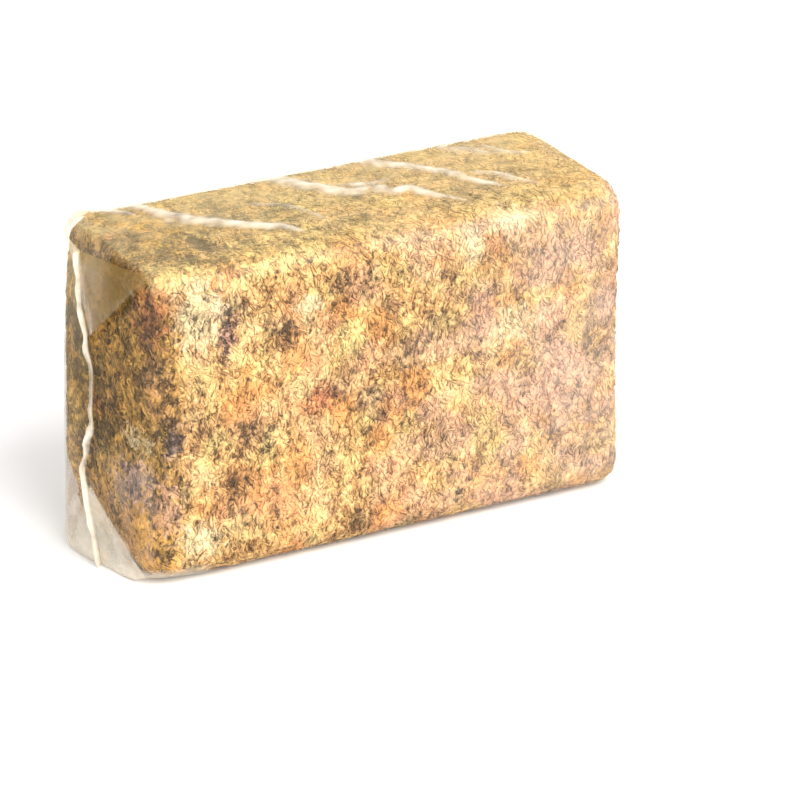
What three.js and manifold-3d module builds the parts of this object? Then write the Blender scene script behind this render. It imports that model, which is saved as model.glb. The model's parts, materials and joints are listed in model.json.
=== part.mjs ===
// A block of dried sphagnum moss, pressed hard and sold in a clear film bag.
// Millimetres, +Z up. The block's length runs along X, and its long front looks towards -Y.
// The left end of the bag is gathered into an upright sealed fin with a fold above and below it.
// The fold of the right end is pressed flat against the block.
import * as THREE from "three";
import { LoftGeometry } from "three/addons/geometries/LoftGeometry.js";
import { ImprovedNoise } from "three/addons/math/ImprovedNoise.js";
import { mergeVertices } from "three/addons/utils/BufferGeometryUtils.js";
import Module from "manifold-3d";

// The bag around the pressed block
const LENGTH = 300;
const DEPTH = 119.4;
const HEIGHT = 186;
const LONG_EDGE_RADIUS = 17;
const UPRIGHT_EDGE_RADIUS = 16;
const FOLD_EDGE_RADIUS = 2.5;
const FOLD_EDGE_START = 22;
const FOLD_EDGE_RUN = 16;
const FILM = 0.5;
const RIGHT_END_RISE = 2;
const RIGHT_FOLD_HALF_WIDTH = 6;
const RIGHT_TOP_DROP = 7.5;

// The gathered left end: a wedge that runs out to the fin
const WEDGE_REACH = 17;
const FIN_Y = -7;
const FIN_WIDTH = 4.5;
const FIN_THICKNESS = 1.3;
const SHOULDER_REACH = 10;
const SHOULDER_Y = 30;
const SHOULDER_BOTTOM_REACH = 6;
const FAR_CORNER_START = 28;
const TOP_FOLD_DEPTH = 49;
const BOTTOM_FOLD_DEPTH = 48;

// The fin's run from its foot to its top: the height, how far its root lies in towards the
// block and to the back of its plain place, and how far its free edge leans on to the back
const FIN_RUN = [
  [0, 7.6, -1.8, -4.2],
  [20, 5.2, -1.2, -2.4],
  [38, 2.9, 0.5, -1.2],
  [56, 2, 2, -0.5],
  [72, 3.7, -0.3, 0.7],
  [82, 5.8, -2.2, 1.1],
  [90, 5.1, -1.8, -3.2],
  [115, 5.8, -1.5, -4.3],
  [137, 4.2, 0.8, -2.4],
  [160, 2.6, 3.5, -1.3],
  [HEIGHT, 2.4, 4.7, -1.9],
];

// The two near upright edges, worn round at half height
const WORN_LEFT_DEPTH = 5;
const WORN_RIGHT_DEPTH = 2;
const WORN_EDGE_SPREAD = 15;

// The film flap that lies flat on the right end
const FLAP_WIDTH = 16;
const FLAP_HEIGHT = 168;
const FLAP_THICKNESS = 1.2;

// The moss inside the film
const MOSS_GAP = 1.4;
const MOSS_END_REACH = 9;
const MOSS_TOP_DROP = 8;
const MOSS_FOOT_RISE = 3;
const MOSS_END_LIFT = 53;
const LUMP_SIZE = 34;
const LUMP_DEPTH = 1.6;
const KNOB_SIZE = 15;
const KNOB_DEPTH = 1.4;

// Standing wrinkles of the top film
const WRINKLE_WIDTH = 4.4;
const WRINKLE_HEIGHT = 1.3;
const WRINKLE_ROOT = 0.3;

// Steps of the meshes
const ARC_STEPS = 3;
const UP_STEPS = 10;
const ACROSS_STEPS = 6;
const MOSS_UP_STEPS = 14;
const MOSS_ACROSS_STEPS = 9;

const HALF_LENGTH = LENGTH / 2;
const HALF_DEPTH = DEPTH / 2;
const FIN_ROOT_X = -HALF_LENGTH - WEDGE_REACH;
const FIN_TIP_X = FIN_ROOT_X - FIN_WIDTH;
const RIGHT_END_X = HALF_LENGTH + RIGHT_END_RISE;
const BAG_LEFT_X = FIN_TIP_X + Math.min(...FIN_RUN.map(([, rootIn]) => rootIn));

const wasm = await Module();
wasm.setup();
const noise = new ImprovedNoise();

function clamp01(value) {
  return THREE.MathUtils.clamp(value, 0, 1);
}

// The fin's shifts at a height, running smoothly from one row of its run to the next.
function finRun(height) {
  const next = FIN_RUN.findIndex(([level], index) => index > 0 && level >= height);
  const [below, above] = [FIN_RUN[next - 1], FIN_RUN[next]];
  const share = THREE.MathUtils.smoothstep(height, below[0], above[0]);
  return [1, 2, 3].map((column) => THREE.MathUtils.lerp(below[column], above[column], share));
}

// Every surface passes through here: the fin takes its run, the shoulder behind it spreads
// at the foot, and the near upright edges are worn round.
function settle(point) {
  const up = clamp01(point.z / HEIGHT);
  const beyondRoot = clamp01((FIN_ROOT_X - point.x) / FIN_WIDTH);
  const outward = clamp01((-HALF_LENGTH - point.x) / WEDGE_REACH);
  const nearFin = clamp01((20 - point.y) / (20 - FIN_Y));
  const wornLeft = WORN_LEFT_DEPTH * wornShare(point, -HALF_LENGTH, up);
  const wornRight = WORN_RIGHT_DEPTH * wornShare(point, HALF_LENGTH, up);
  const [rootIn, rootBack, edgeBack] = finRun(up * HEIGHT);
  point.x += rootIn * outward * nearFin;
  point.x -= SHOULDER_BOTTOM_REACH * (1 - up) * outward * (1 - nearFin);
  point.y += (rootBack * outward + edgeBack * beyondRoot) * nearFin;
  point.x += (wornLeft - wornRight) * Math.SQRT1_2;
  point.y += (wornLeft + wornRight) * Math.SQRT1_2;
  return point;
}

// How much of the wear of a near upright edge reaches a point.
function wornShare(point, edgeX, up) {
  const away = Math.hypot(point.x - edgeX, point.y + HALF_DEPTH) / WORN_EDGE_SPREAD;
  return Math.sin(Math.PI * up) ** 2 * Math.exp(-away * away);
}

// Points along one side of a plan outline, a fixed number for each of its lines and curves,
// so that the front and the back side always match point for point.
function alongPath(path, steps) {
  const points = [path.curves[0].getPoint(0)];
  path.curves.forEach((curve, index) => {
    for (let i = 1; i <= steps[index]; i++) points.push(curve.getPoint(i / steps[index]));
  });
  return points;
}

// Moves a side of an outline inwards, square to its own run.
function insetSide(points, distance, towards) {
  return points.map((point, i) => {
    const before = points[Math.max(i - 1, 0)];
    const after = points[Math.min(i + 1, points.length - 1)];
    const run = after.clone().sub(before).normalize();
    const inward = new THREE.Vector2(run.y, -run.x).multiplyScalar(towards);
    return point.clone().addScaledVector(inward, distance);
  });
}

// The two long sides of the bag in plan, from the middle of the right end to the fin's tip.
const BAG_STEPS = [2, 3, 8, 4, 4, 2];

function bagSides(inset) {
  const sideOf = (sign, cornerStart, corner, cornerEnd) => {
    const path = new THREE.Path();
    path.moveTo(RIGHT_END_X, sign * RIGHT_FOLD_HALF_WIDTH);
    path.lineTo(HALF_LENGTH, sign * (HALF_DEPTH - UPRIGHT_EDGE_RADIUS));
    path.quadraticCurveTo(
      HALF_LENGTH,
      sign * HALF_DEPTH,
      HALF_LENGTH - UPRIGHT_EDGE_RADIUS,
      sign * HALF_DEPTH,
    );
    path.lineTo(cornerStart, sign * HALF_DEPTH);
    path.quadraticCurveTo(corner.x, corner.y, cornerEnd.x, cornerEnd.y);
    path.lineTo(FIN_ROOT_X, FIN_Y + (sign * FIN_THICKNESS) / 2);
    path.lineTo(FIN_TIP_X, FIN_Y + (sign * FIN_THICKNESS) / 2);
    return path;
  };
  const nearCorner = new THREE.Vector2(1 - HALF_LENGTH, -HALF_DEPTH);
  const nearRun = new THREE.Vector2(FIN_ROOT_X, FIN_Y).sub(nearCorner).normalize();
  const front = sideOf(
    -1,
    nearCorner.x + UPRIGHT_EDGE_RADIUS,
    nearCorner,
    nearCorner.clone().addScaledVector(nearRun, UPRIGHT_EDGE_RADIUS),
  );
  const back = sideOf(
    1,
    FAR_CORNER_START - HALF_LENGTH,
    new THREE.Vector2(5 - HALF_LENGTH, HALF_DEPTH - 1),
    new THREE.Vector2(-HALF_LENGTH - SHOULDER_REACH + 1, SHOULDER_Y),
  );
  return {
    front: insetSide(alongPath(front, BAG_STEPS), inset, 1),
    back: insetSide(alongPath(back, BAG_STEPS), inset, -1),
  };
}

// One upright section between a front and a back point: a rectangle with round corners.
function uprightSection(front, back, shape) {
  const { low, high, lowRadius, highRadius, upSteps, acrossSteps } = shape;
  const half = front.distanceTo(back) / 2;
  const middle = front.clone().add(back).multiplyScalar(0.5);
  const across = front.clone().sub(back).normalize();
  const cornerOf = (sideways, radius, level, startAngle, steps) => {
    const round = Math.min(radius, 0.9 * half);
    return {
      round,
      startAngle,
      steps,
      centre: new THREE.Vector2(sideways * (half - round), level + (level === low ? round : -round)),
    };
  };
  const corners = [
    cornerOf(1, lowRadius, low, -Math.PI / 2, upSteps),
    cornerOf(1, highRadius, high, 0, acrossSteps),
    cornerOf(-1, highRadius, high, Math.PI / 2, upSteps),
    cornerOf(-1, lowRadius, low, Math.PI, acrossSteps),
  ];
  const onArc = (corner, share) => {
    const angle = corner.startAngle + (share * Math.PI) / 2;
    return new THREE.Vector2(Math.cos(angle), Math.sin(angle))
      .multiplyScalar(corner.round)
      .add(corner.centre);
  };
  const outline = [];
  corners.forEach((corner, index) => {
    for (let i = 0; i <= ARC_STEPS; i++) outline.push(onArc(corner, i / ARC_STEPS));
    const from = onArc(corner, 1);
    const to = onArc(corners[(index + 1) % corners.length], 0);
    for (let i = 1; i < corner.steps; i++) outline.push(from.clone().lerp(to, i / corner.steps));
  });
  return outline.map(
    (point) =>
      new THREE.Vector3(middle.x + across.x * point.x, middle.y + across.y * point.x, point.y),
  );
}

function bagShape(inset, throughTip) {
  const { front, back } = bagSides(inset);
  const sections = front.map((point, i) => {
    const x = (point.x + back[i].x) / 2;
    const rightShare = clamp01((x - (HALF_LENGTH - UPRIGHT_EDGE_RADIUS)) / UPRIGHT_EDGE_RADIUS);
    const cornerShare = clamp01((-x - (HALF_LENGTH - FOLD_EDGE_START)) / FOLD_EDGE_RUN);
    const wedgeShare = clamp01((-x - HALF_LENGTH) / SHOULDER_REACH);
    return uprightSection(point, back[i], {
      low: inset,
      high: HEIGHT - inset - RIGHT_TOP_DROP * rightShare ** 3,
      lowRadius: THREE.MathUtils.lerp(LONG_EDGE_RADIUS, FOLD_EDGE_RADIUS, wedgeShare) - inset,
      highRadius: THREE.MathUtils.lerp(LONG_EDGE_RADIUS, FOLD_EDGE_RADIUS, cornerShare) - inset,
      upSteps: UP_STEPS,
      acrossSteps: ACROSS_STEPS,
    });
  });
  if (throughTip) sections[sections.length - 1].forEach((point) => (point.x -= throughTip));
  return loft(sections);
}

// A closed solid skinned over sections that run from right to left.
function loft(sections) {
  const settled = sections.map((section) => section.map((point) => settle(point.clone())));
  return solidOf(new LoftGeometry(settled, { capStart: true, capEnd: true }));
}

function solidOf(geometry) {
  const faces = geometry.toNonIndexed();
  faces.deleteAttribute("normal");
  faces.deleteAttribute("uv");
  const merged = mergeVertices(faces, 1e-4);
  return new wasm.Manifold(
    new wasm.Mesh({
      numProp: 3,
      vertProperties: merged.attributes.position.array,
      triVerts: Uint32Array.from(merged.index.array),
    }),
  );
}

// The pocket that a fold leaves open above or below the fin: a wedge between the doubled
// outer panels and the film that lies on the moss, narrowing to a point on the fin.
function foldPocket(grow, atTop) {
  const wall = 2 * FILM - grow;
  const depth = (atTop ? TOP_FOLD_DEPTH : BOTTOM_FOLD_DEPTH) + 2 * grow;
  const mouth = [
    new THREE.Vector2(2.5 - HALF_LENGTH + grow, -HALF_DEPTH + 8.5 - grow),
    new THREE.Vector2(-HALF_LENGTH - 3.3 + wall, -HALF_DEPTH + 17),
    new THREE.Vector2(FIN_ROOT_X + 1.5 + wall, FIN_Y),
    new THREE.Vector2(-HALF_LENGTH - SHOULDER_REACH + 2 + wall, SHOULDER_Y),
    new THREE.Vector2(5 - HALF_LENGTH + grow, HALF_DEPTH - 13 + grow),
  ];
  const point = new THREE.Vector2(FIN_ROOT_X + 2 + wall, FIN_Y);
  const level = atTop ? HEIGHT : 0;
  const inwards = atTop ? -1 : 1;
  const ring = (share) =>
    mouth.map((corner) => {
      const place = corner.clone().lerp(point, share);
      return new THREE.Vector3(place.x, place.y, level + inwards * depth * share);
    });
  const outside = mouth.map((corner) => new THREE.Vector3(corner.x, corner.y, level - inwards));
  const rings = [outside, ring(0), ring(0.5), ring(0.99)];
  return loft(atTop ? rings : rings.map((section) => section.reverse()));
}

// Height of the film's top over a place, coming down over the two long edges.
function topHeight(y) {
  const over = Math.max(Math.abs(y) - (HALF_DEPTH - LONG_EDGE_RADIUS), 0);
  return HEIGHT - LONG_EDGE_RADIUS + Math.sqrt(LONG_EDGE_RADIUS ** 2 - over ** 2);
}

// A crease of film that stands on the top, running aslant from the back edge to the front.
function wrinkle(places) {
  const route = new THREE.SplineCurve(places.map(([x, y]) => new THREE.Vector2(x, y)));
  const steps = 4 * (places.length - 1);
  const sections = [];
  for (let i = 0; i <= steps; i++) {
    const share = i / steps;
    const place = route.getPoint(share);
    const run = route.getTangent(share);
    const taper = 0.25 + 0.75 * Math.sin(Math.PI * share);
    const half = (WRINKLE_WIDTH / 2) * taper;
    const root = topHeight(place.y) - WRINKLE_ROOT;
    const crest = root + WRINKLE_ROOT + WRINKLE_HEIGHT * taper;
    const profile = [
      [-half, root],
      [half, root],
      [0.2 * half, crest],
      [-0.2 * half, crest],
    ];
    sections.push(
      profile.map(([aside, z]) => new THREE.Vector3(place.x - run.y * aside, place.y + run.x * aside, z)),
    );
  }
  return loft(sections);
}

const WRINKLES = [
  [[-140, 47], [-124, 39], [-110, 23]],
  [[-106, 44], [-97, 26], [-83, 1], [-65, -21], [-41, -43]],
  [[-51, 9], [-35, -2], [-28, -36]],
  [[-25, 45], [-16, 28], [3, -5]],
  [[9, 12], [24, -5], [54, -37]],
  [[38, 42], [49, 25], [65, 6], [75, -19]],
  [[74, -2], [88, -6], [99, -26]],
  [[85, 44], [102, 26], [122, 15]],
];

// The moss keeps inside the film on all sides, and its left end swells into the wedge.
const MOSS_STEPS = [4, 3, 22, 3, 2, 2];

function mossSides() {
  const depth = HALF_DEPTH - MOSS_GAP;
  const right = HALF_LENGTH - MOSS_GAP;
  const sideOf = (sign, cornerStart, corner, cornerEnd, swell, endY) => {
    const path = new THREE.Path();
    path.moveTo(right, sign * 4);
    path.lineTo(right, sign * (depth - UPRIGHT_EDGE_RADIUS));
    path.quadraticCurveTo(right, sign * depth, right - UPRIGHT_EDGE_RADIUS, sign * depth);
    path.lineTo(cornerStart, sign * depth);
    path.quadraticCurveTo(corner.x, corner.y, cornerEnd.x, cornerEnd.y);
    path.lineTo(swell.x, swell.y);
    path.lineTo(-HALF_LENGTH - MOSS_END_REACH, endY);
    return path;
  };
  const front = sideOf(
    -1,
    20 - HALF_LENGTH,
    new THREE.Vector2(4 - HALF_LENGTH, -depth),
    new THREE.Vector2(-HALF_LENGTH - 1, -41),
    new THREE.Vector2(-HALF_LENGTH - 6, -26),
    -12,
  );
  const back = sideOf(
    1,
    FAR_CORNER_START + 1 - HALF_LENGTH,
    new THREE.Vector2(7 - HALF_LENGTH, depth - 2),
    new THREE.Vector2(-HALF_LENGTH - 3, 34),
    new THREE.Vector2(-HALF_LENGTH - 7, 24),
    10,
  );
  return { front: alongPath(front, MOSS_STEPS), back: alongPath(back, MOSS_STEPS) };
}

// The lumps, knobs and hollows of pressed moss, as a depth below the smooth block.
const HOLLOWS = [
  [-103, -HALF_DEPTH, 145, 9, 4],
  [-46, -HALF_DEPTH, 96, 12, 3],
  [-91, -HALF_DEPTH, 84, 9, 3],
  [-1, -HALF_DEPTH, 140, 8, 3],
  [60, -HALF_DEPTH, 164, 11, 3],
  [-HALF_LENGTH, -27, 68, 13, 4],
  [-101, -20, HEIGHT, 12, 3],
  [30, 8, HEIGHT, 14, 2.5],
  [40, HALF_DEPTH, 110, 14, 4],
  [-60, HALF_DEPTH, 60, 11, 3],
  [HALF_LENGTH, 12, 90, 13, 4],
];

function mossDepth(point) {
  const at = (size) => noise.noise(point.x / size, point.y / size + 7.3, point.z / size + 3.1);
  const lumps = LUMP_DEPTH * clamp01(0.4 + at(LUMP_SIZE));
  const knobs = KNOB_DEPTH * clamp01(0.35 + at(KNOB_SIZE));
  let depth = lumps + knobs;
  HOLLOWS.forEach(([x, y, z, spread, deep]) => {
    const away = point.distanceTo(new THREE.Vector3(x, y, z)) / spread;
    depth += deep * Math.exp(-away * away);
  });
  return depth;
}

function mossShape() {
  const { front, back } = mossSides();
  const core = new THREE.Box3(
    new THREE.Vector3(30 - HALF_LENGTH, 25 - HALF_DEPTH, 25),
    new THREE.Vector3(HALF_LENGTH - 25, HALF_DEPTH - 25, HEIGHT - 25),
  );
  const sections = front.map((point, i) => {
    const x = (point.x + back[i].x) / 2;
    const rightShare = clamp01((x - (HALF_LENGTH - 20)) / 20);
    const leftShare = clamp01((-x - (HALF_LENGTH - 6)) / (MOSS_END_REACH + 6));
    const swellLift = MOSS_END_LIFT * leftShare ** 1.3;
    const section = uprightSection(point, back[i], {
      low: MOSS_GAP + MOSS_FOOT_RISE * rightShare ** 2 + swellLift,
      high: HEIGHT - MOSS_GAP - MOSS_TOP_DROP * rightShare ** 2 - swellLift,
      lowRadius: LONG_EDGE_RADIUS + 1,
      highRadius: LONG_EDGE_RADIUS + 1,
      upSteps: MOSS_UP_STEPS,
      acrossSteps: MOSS_ACROSS_STEPS,
    });
    section.forEach((place) => {
      const nearest = core.clampPoint(place, new THREE.Vector3());
      const inward = nearest.sub(place).normalize();
      place.addScaledVector(inward, mossDepth(place));
    });
    return section;
  });
  return loft(sections);
}

function bagSolid() {
  const pocketTop = foldPocket(0, true);
  const pocketBottom = foldPocket(0, false);
  const hollow = bagShape(FILM, 2)
    .subtract(foldPocket(FILM, true))
    .subtract(foldPocket(FILM, false));
  let bag = bagShape(0, 0).subtract(hollow).subtract(pocketTop).subtract(pocketBottom);
  WRINKLES.forEach((places) => {
    bag = bag.add(wrinkle(places));
  });
  const flap = new THREE.BoxGeometry(FLAP_THICKNESS, FLAP_WIDTH, FLAP_HEIGHT);
  flap.translate(RIGHT_END_X + FLAP_THICKNESS / 4, FLAP_WIDTH / 4, HEIGHT / 2 - RIGHT_TOP_DROP / 2);
  return bag.add(solidOf(flap));
}

function meshOf(solid, name, material) {
  const { vertProperties, triVerts } = solid.getMesh();
  const geometry = new THREE.BufferGeometry();
  geometry.setAttribute("position", new THREE.BufferAttribute(vertProperties, 3));
  geometry.setIndex(new THREE.BufferAttribute(triVerts, 1));
  geometry.computeVertexNormals();
  const mesh = new THREE.Mesh(geometry, material);
  mesh.name = name;
  return mesh;
}

const mossMaterial = new THREE.MeshStandardMaterial({ color: 0xc9a468, roughness: 0.95, metalness: 0 });
const filmMaterial = new THREE.MeshStandardMaterial({
  color: 0xeeeadf,
  roughness: 0.2,
  metalness: 0,
  transparent: true,
  opacity: 0.3,
});

const block = new THREE.Group();
block.add(meshOf(mossShape(), "moss_block", mossMaterial));
block.add(meshOf(bagSolid(), "film_bag", filmMaterial));
block.position.x = -(BAG_LEFT_X + RIGHT_END_X + (3 * FLAP_THICKNESS) / 4) / 2;

export default block;
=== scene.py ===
# %% [markdown]
# # A pressed block of sphagnum moss in clear film
# The object is a brick of dried moss in a clear bag. The bag is tight on the long sides, its
# left end is gathered into an upright fin, and thin creases stand on its top. This lesson
# loads the measured frame first, so that every later piece has its true place and size.

# %% The frame
import json
import math

import bpy
import numpy as np
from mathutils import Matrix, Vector

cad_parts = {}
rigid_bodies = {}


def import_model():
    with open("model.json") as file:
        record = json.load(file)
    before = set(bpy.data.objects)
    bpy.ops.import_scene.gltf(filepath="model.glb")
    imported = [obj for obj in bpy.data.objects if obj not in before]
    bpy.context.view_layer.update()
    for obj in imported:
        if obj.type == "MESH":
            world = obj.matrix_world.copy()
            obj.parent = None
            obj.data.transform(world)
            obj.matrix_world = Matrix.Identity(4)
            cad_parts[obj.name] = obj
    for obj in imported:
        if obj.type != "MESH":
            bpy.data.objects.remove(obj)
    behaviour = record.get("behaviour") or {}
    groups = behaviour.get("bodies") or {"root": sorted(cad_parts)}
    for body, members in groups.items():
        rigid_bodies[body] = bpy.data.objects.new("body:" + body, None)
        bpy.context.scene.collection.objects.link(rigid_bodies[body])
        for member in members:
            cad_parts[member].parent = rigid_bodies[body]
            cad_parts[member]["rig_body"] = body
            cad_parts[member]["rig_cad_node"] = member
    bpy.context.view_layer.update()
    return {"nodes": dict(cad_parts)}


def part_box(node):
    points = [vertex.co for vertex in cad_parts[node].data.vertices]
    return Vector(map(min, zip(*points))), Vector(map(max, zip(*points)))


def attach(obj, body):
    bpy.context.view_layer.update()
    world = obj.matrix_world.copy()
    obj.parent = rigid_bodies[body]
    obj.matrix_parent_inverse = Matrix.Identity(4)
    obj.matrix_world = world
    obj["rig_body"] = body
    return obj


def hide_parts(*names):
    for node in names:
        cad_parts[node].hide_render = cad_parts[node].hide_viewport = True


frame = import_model()

# %% [markdown]
# All lengths are in metres, so a millimetre gets a name. The block is 300 mm long, 119 mm
# deep and 186 mm high. The fin reaches past its left end, so the block's own middle lies a
# little to the right of the frame's origin, and that place is worked out from the frame. The
# fin wanders on its way up, and its run is a short table that was measured in the photo.

# %% Sizes of the block and of the bag's left end
MM = 0.001
HALF_LENGTH = 150 * MM
HALF_DEPTH = 59.7 * MM
HEIGHT = 186 * MM
WEDGE_REACH = 17 * MM
FIN_WIDTH = 4.5 * MM
FIN_Y = -7 * MM
SHOULDER_REACH = 10 * MM
SHOULDER_Y = 30 * MM
SHOULDER_BOTTOM_REACH = 6 * MM
# Height, how far the root lies in and to the back of its plain place, and how far the free
# edge leans on to the back, all in millimetres.
FIN_RUN = np.array([
    (0, 7.6, -1.8, -4.2), (20, 5.2, -1.2, -2.4), (38, 2.9, 0.5, -1.2), (56, 2, 2, -0.5),
    (72, 3.7, -0.3, 0.7), (82, 5.8, -2.2, 1.1), (90, 5.1, -1.8, -3.2), (115, 5.8, -1.5, -4.3),
    (137, 4.2, 0.8, -2.4), (160, 2.6, 3.5, -1.3), (186, 2.4, 4.7, -1.9),
]) * MM
BAG_LEFT = HALF_LENGTH + WEDGE_REACH + FIN_WIDTH - FIN_RUN[:, 1].min()
BLOCK_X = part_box("film_bag")[0].x + BAG_LEFT
FIN_ROOT_X = -HALF_LENGTH - WEDGE_REACH
print("the block's middle is at x =", round(BLOCK_X / MM, 2), "mm")

# %% [markdown]
# The camera stands where the photograph was taken from: low, to the left of the front, far
# away with a long lens, so the block's edges stay nearly parallel. The picture is square. The
# block isn't in its middle, so the camera looks a little to the right of it and below it.

# %% The camera
AZIMUTH = math.radians(-28.1)
ELEVATION = math.radians(23.05)
DISTANCE = 3.03
NEAREST_SEEN, FARTHEST_SEEN = 0.1, 20
FOCAL_PIXELS = 5385
IMAGE_PIXELS = 800
SENSOR = 36
AIM_RIGHT_PIXELS = 54.1
AIM_DOWN_PIXELS = 44.7
AIM_HEIGHT = 90 * MM
LOOKED_AT = Vector((BLOCK_X, 0, AIM_HEIGHT))

back = Vector((
    math.sin(AZIMUTH) * math.cos(ELEVATION),
    -math.cos(AZIMUTH) * math.cos(ELEVATION),
    math.sin(ELEVATION),
))
right = Vector((math.cos(AZIMUTH), math.sin(AZIMUTH), 0))
up = back.cross(right)
metres_a_pixel = DISTANCE / FOCAL_PIXELS
aim = LOOKED_AT + metres_a_pixel * (AIM_RIGHT_PIXELS * right - AIM_DOWN_PIXELS * up)

bpy.ops.object.camera_add(location=LOOKED_AT + back * DISTANCE)
camera = bpy.context.object
camera.data.sensor_width = SENSOR
camera.data.lens = SENSOR * FOCAL_PIXELS / IMAGE_PIXELS
camera.data.clip_start = NEAREST_SEEN
camera.data.clip_end = FARTHEST_SEEN
camera.rotation_mode = "QUATERNION"
camera.rotation_quaternion = (camera.location - aim).to_track_quat("Z", "Y")
bpy.context.scene.camera = camera
print("lens", round(camera.data.lens, 1), "mm")

# %% [markdown]
# Blender's operators act on whatever is selected. These helpers select one object alone,
# and open edit mode with all of it selected, or only the faces or edges that were chosen by
# their place, as a maker would choose them by eye.

# %% Helpers for selecting and editing
WELD_DISTANCE = 0.01 * MM


def only(piece):
    """Selects one object and makes it the active one."""
    if bpy.context.object and bpy.context.object.mode != "OBJECT":
        bpy.ops.object.mode_set(mode="OBJECT")
    bpy.ops.object.select_all(action="DESELECT")
    piece.select_set(True)
    bpy.context.view_layer.objects.active = piece
    return piece


def edit_all():
    """Opens edit mode on the active piece with all of it selected."""
    bpy.ops.object.mode_set(mode="EDIT")
    bpy.ops.mesh.select_all(action="SELECT")


def edit_chosen(piece, kind, chosen):
    """Opens edit mode with only the chosen faces or edges selected."""
    bpy.ops.object.mode_set(mode="EDIT")
    bpy.ops.mesh.select_mode(type=kind)
    bpy.ops.mesh.select_all(action="DESELECT")
    bpy.ops.object.mode_set(mode="OBJECT")
    parts = piece.data.polygons if kind == "FACE" else piece.data.edges
    parts.foreach_set("select", chosen)
    bpy.ops.object.mode_set(mode="EDIT")


def edit_done():
    """Closes edit mode, which writes the work back to the mesh."""
    bpy.ops.object.mode_set(mode="OBJECT")


def finish_modifiers(piece):
    """Applies every modifier of a piece, first to last."""
    only(piece)
    for modifier in list(piece.modifiers):
        bpy.ops.object.modifier_apply(modifier=modifier.name)


# %% [markdown]
# A film of tens of thousands of vertices can't be shaped one vertex at a time. These helpers
# read and write all of them as one array, and keep notes on them for the materials. The last
# one gives the soft step from 0 to 1 with which nearly every change in this lesson fades.

# %% Helpers for many vertices at once


def points_of(piece):
    """The vertices of a mesh as an array of x, y, z."""
    flat = np.empty(len(piece.data.vertices) * 3)
    piece.data.vertices.foreach_get("co", flat)
    return flat.reshape(-1, 3)


def put_points(piece, points):
    """Writes moved vertices back to the mesh."""
    piece.data.vertices.foreach_set("co", np.ascontiguousarray(points).ravel())
    piece.data.update()


def normals_of(piece):
    """The vertex normals of a mesh as an array."""
    flat = np.empty(len(piece.data.vertices) * 3)
    piece.data.vertex_normals.foreach_get("vector", flat)
    return flat.reshape(-1, 3)


def store(piece, name, values):
    """Keeps one number a vertex on the mesh, for the materials."""
    note = piece.data.attributes.get(name) or piece.data.attributes.new(name, "FLOAT", "POINT")
    note.data.foreach_set("value", np.ascontiguousarray(values, dtype=np.float32))


def fetch(piece, name):
    """Reads back the numbers that store kept."""
    values = np.empty(len(piece.data.vertices), np.float32)
    piece.data.attributes[name].data.foreach_get("value", values)
    return values


def triangles(piece):
    """How many triangles a mesh has."""
    piece.data.calc_loop_triangles()
    return len(piece.data.loop_triangles)


def smoothstep(low, high, value):
    """Runs softly from 0 at low to 1 at high."""
    share = np.clip((value - low) / (high - low), 0, 1)
    return share * share * (3 - 2 * share)


# %% [markdown]
# The bag is one tube of film round the block. Cloth simulation could inflate it, and a cube
# with round edges could stand for it, but the fin and the folds come out best when the tube
# is skinned over upright sections, as the film was drawn over the block. A section joins one
# point of the front to one of the back, so first come the two sides of the plan outline.

# %% The plan outline of the bag
UPRIGHT_EDGE_RADIUS = 16 * MM
RIGHT_END_RISE = 2 * MM
NEAR_CORNER_IN = 1 * MM
NEAR_CORNER_RUN = 18 * MM
FAR_CORNER_START = 28 * MM
FAR_CORNER_IN = 5 * MM
FAR_CORNER_WORN = 1 * MM
FIN_THICKNESS = 0.9 * MM


def straight(start, end, steps):
    """The points of a straight run, without its start."""
    share = np.linspace(0, 1, steps + 1)[1:, None]
    return (1 - share) * np.array(start) + share * np.array(end)


def bend(start, corner, end, steps):
    """The points of a run that rounds a corner, without its start."""
    share = np.linspace(0, 1, steps + 1)[1:, None]
    first, middle, last = (1 - share) ** 2, 2 * share * (1 - share), share**2
    return first * np.array(start) + middle * np.array(corner) + last * np.array(end)


def plan_side(sign, corner_start, corner, corner_end, steps):
    """One side of the bag seen from above, from the right end's middle to the fin's tip."""
    depth = sign * HALF_DEPTH
    right_straight = (HALF_LENGTH, depth - sign * UPRIGHT_EDGE_RADIUS)
    long_start = (HALF_LENGTH - UPRIGHT_EDGE_RADIUS, depth)
    root = (FIN_ROOT_X, FIN_Y + sign * FIN_THICKNESS / 2)
    tip = (FIN_ROOT_X - FIN_WIDTH, FIN_Y + sign * FIN_THICKNESS / 2)
    start = (HALF_LENGTH + RIGHT_END_RISE, 0)
    return np.vstack([
        [start],
        straight(start, right_straight, steps["right end"]),
        bend(right_straight, (HALF_LENGTH, depth), long_start, steps["right corner"]),
        straight(long_start, (corner_start, depth), steps["long side"]),
        bend((corner_start, depth), corner, corner_end, steps["left corner"]),
        straight(corner_end, root, steps["wedge"]),
        straight(root, tip, steps["fin"]),
        [(tip[0], FIN_Y)],
    ])


def plan_sides(steps):
    """The front and the back of the bag, which differ in how they round their left corner."""
    near_corner = np.array([NEAR_CORNER_IN - HALF_LENGTH, -HALF_DEPTH])
    near_run = np.array([FIN_ROOT_X, FIN_Y]) - near_corner
    near_run /= np.linalg.norm(near_run)
    front = plan_side(
        -1,
        near_corner[0] + NEAR_CORNER_RUN,
        near_corner,
        near_corner + near_run * NEAR_CORNER_RUN,
        steps,
    )
    behind = plan_side(
        1,
        FAR_CORNER_START - HALF_LENGTH,
        (FAR_CORNER_IN - HALF_LENGTH, HALF_DEPTH - FAR_CORNER_WORN),
        (-HALF_LENGTH - SHOULDER_REACH + 1 * MM, SHOULDER_Y),
        steps,
    )
    return front, behind


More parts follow.
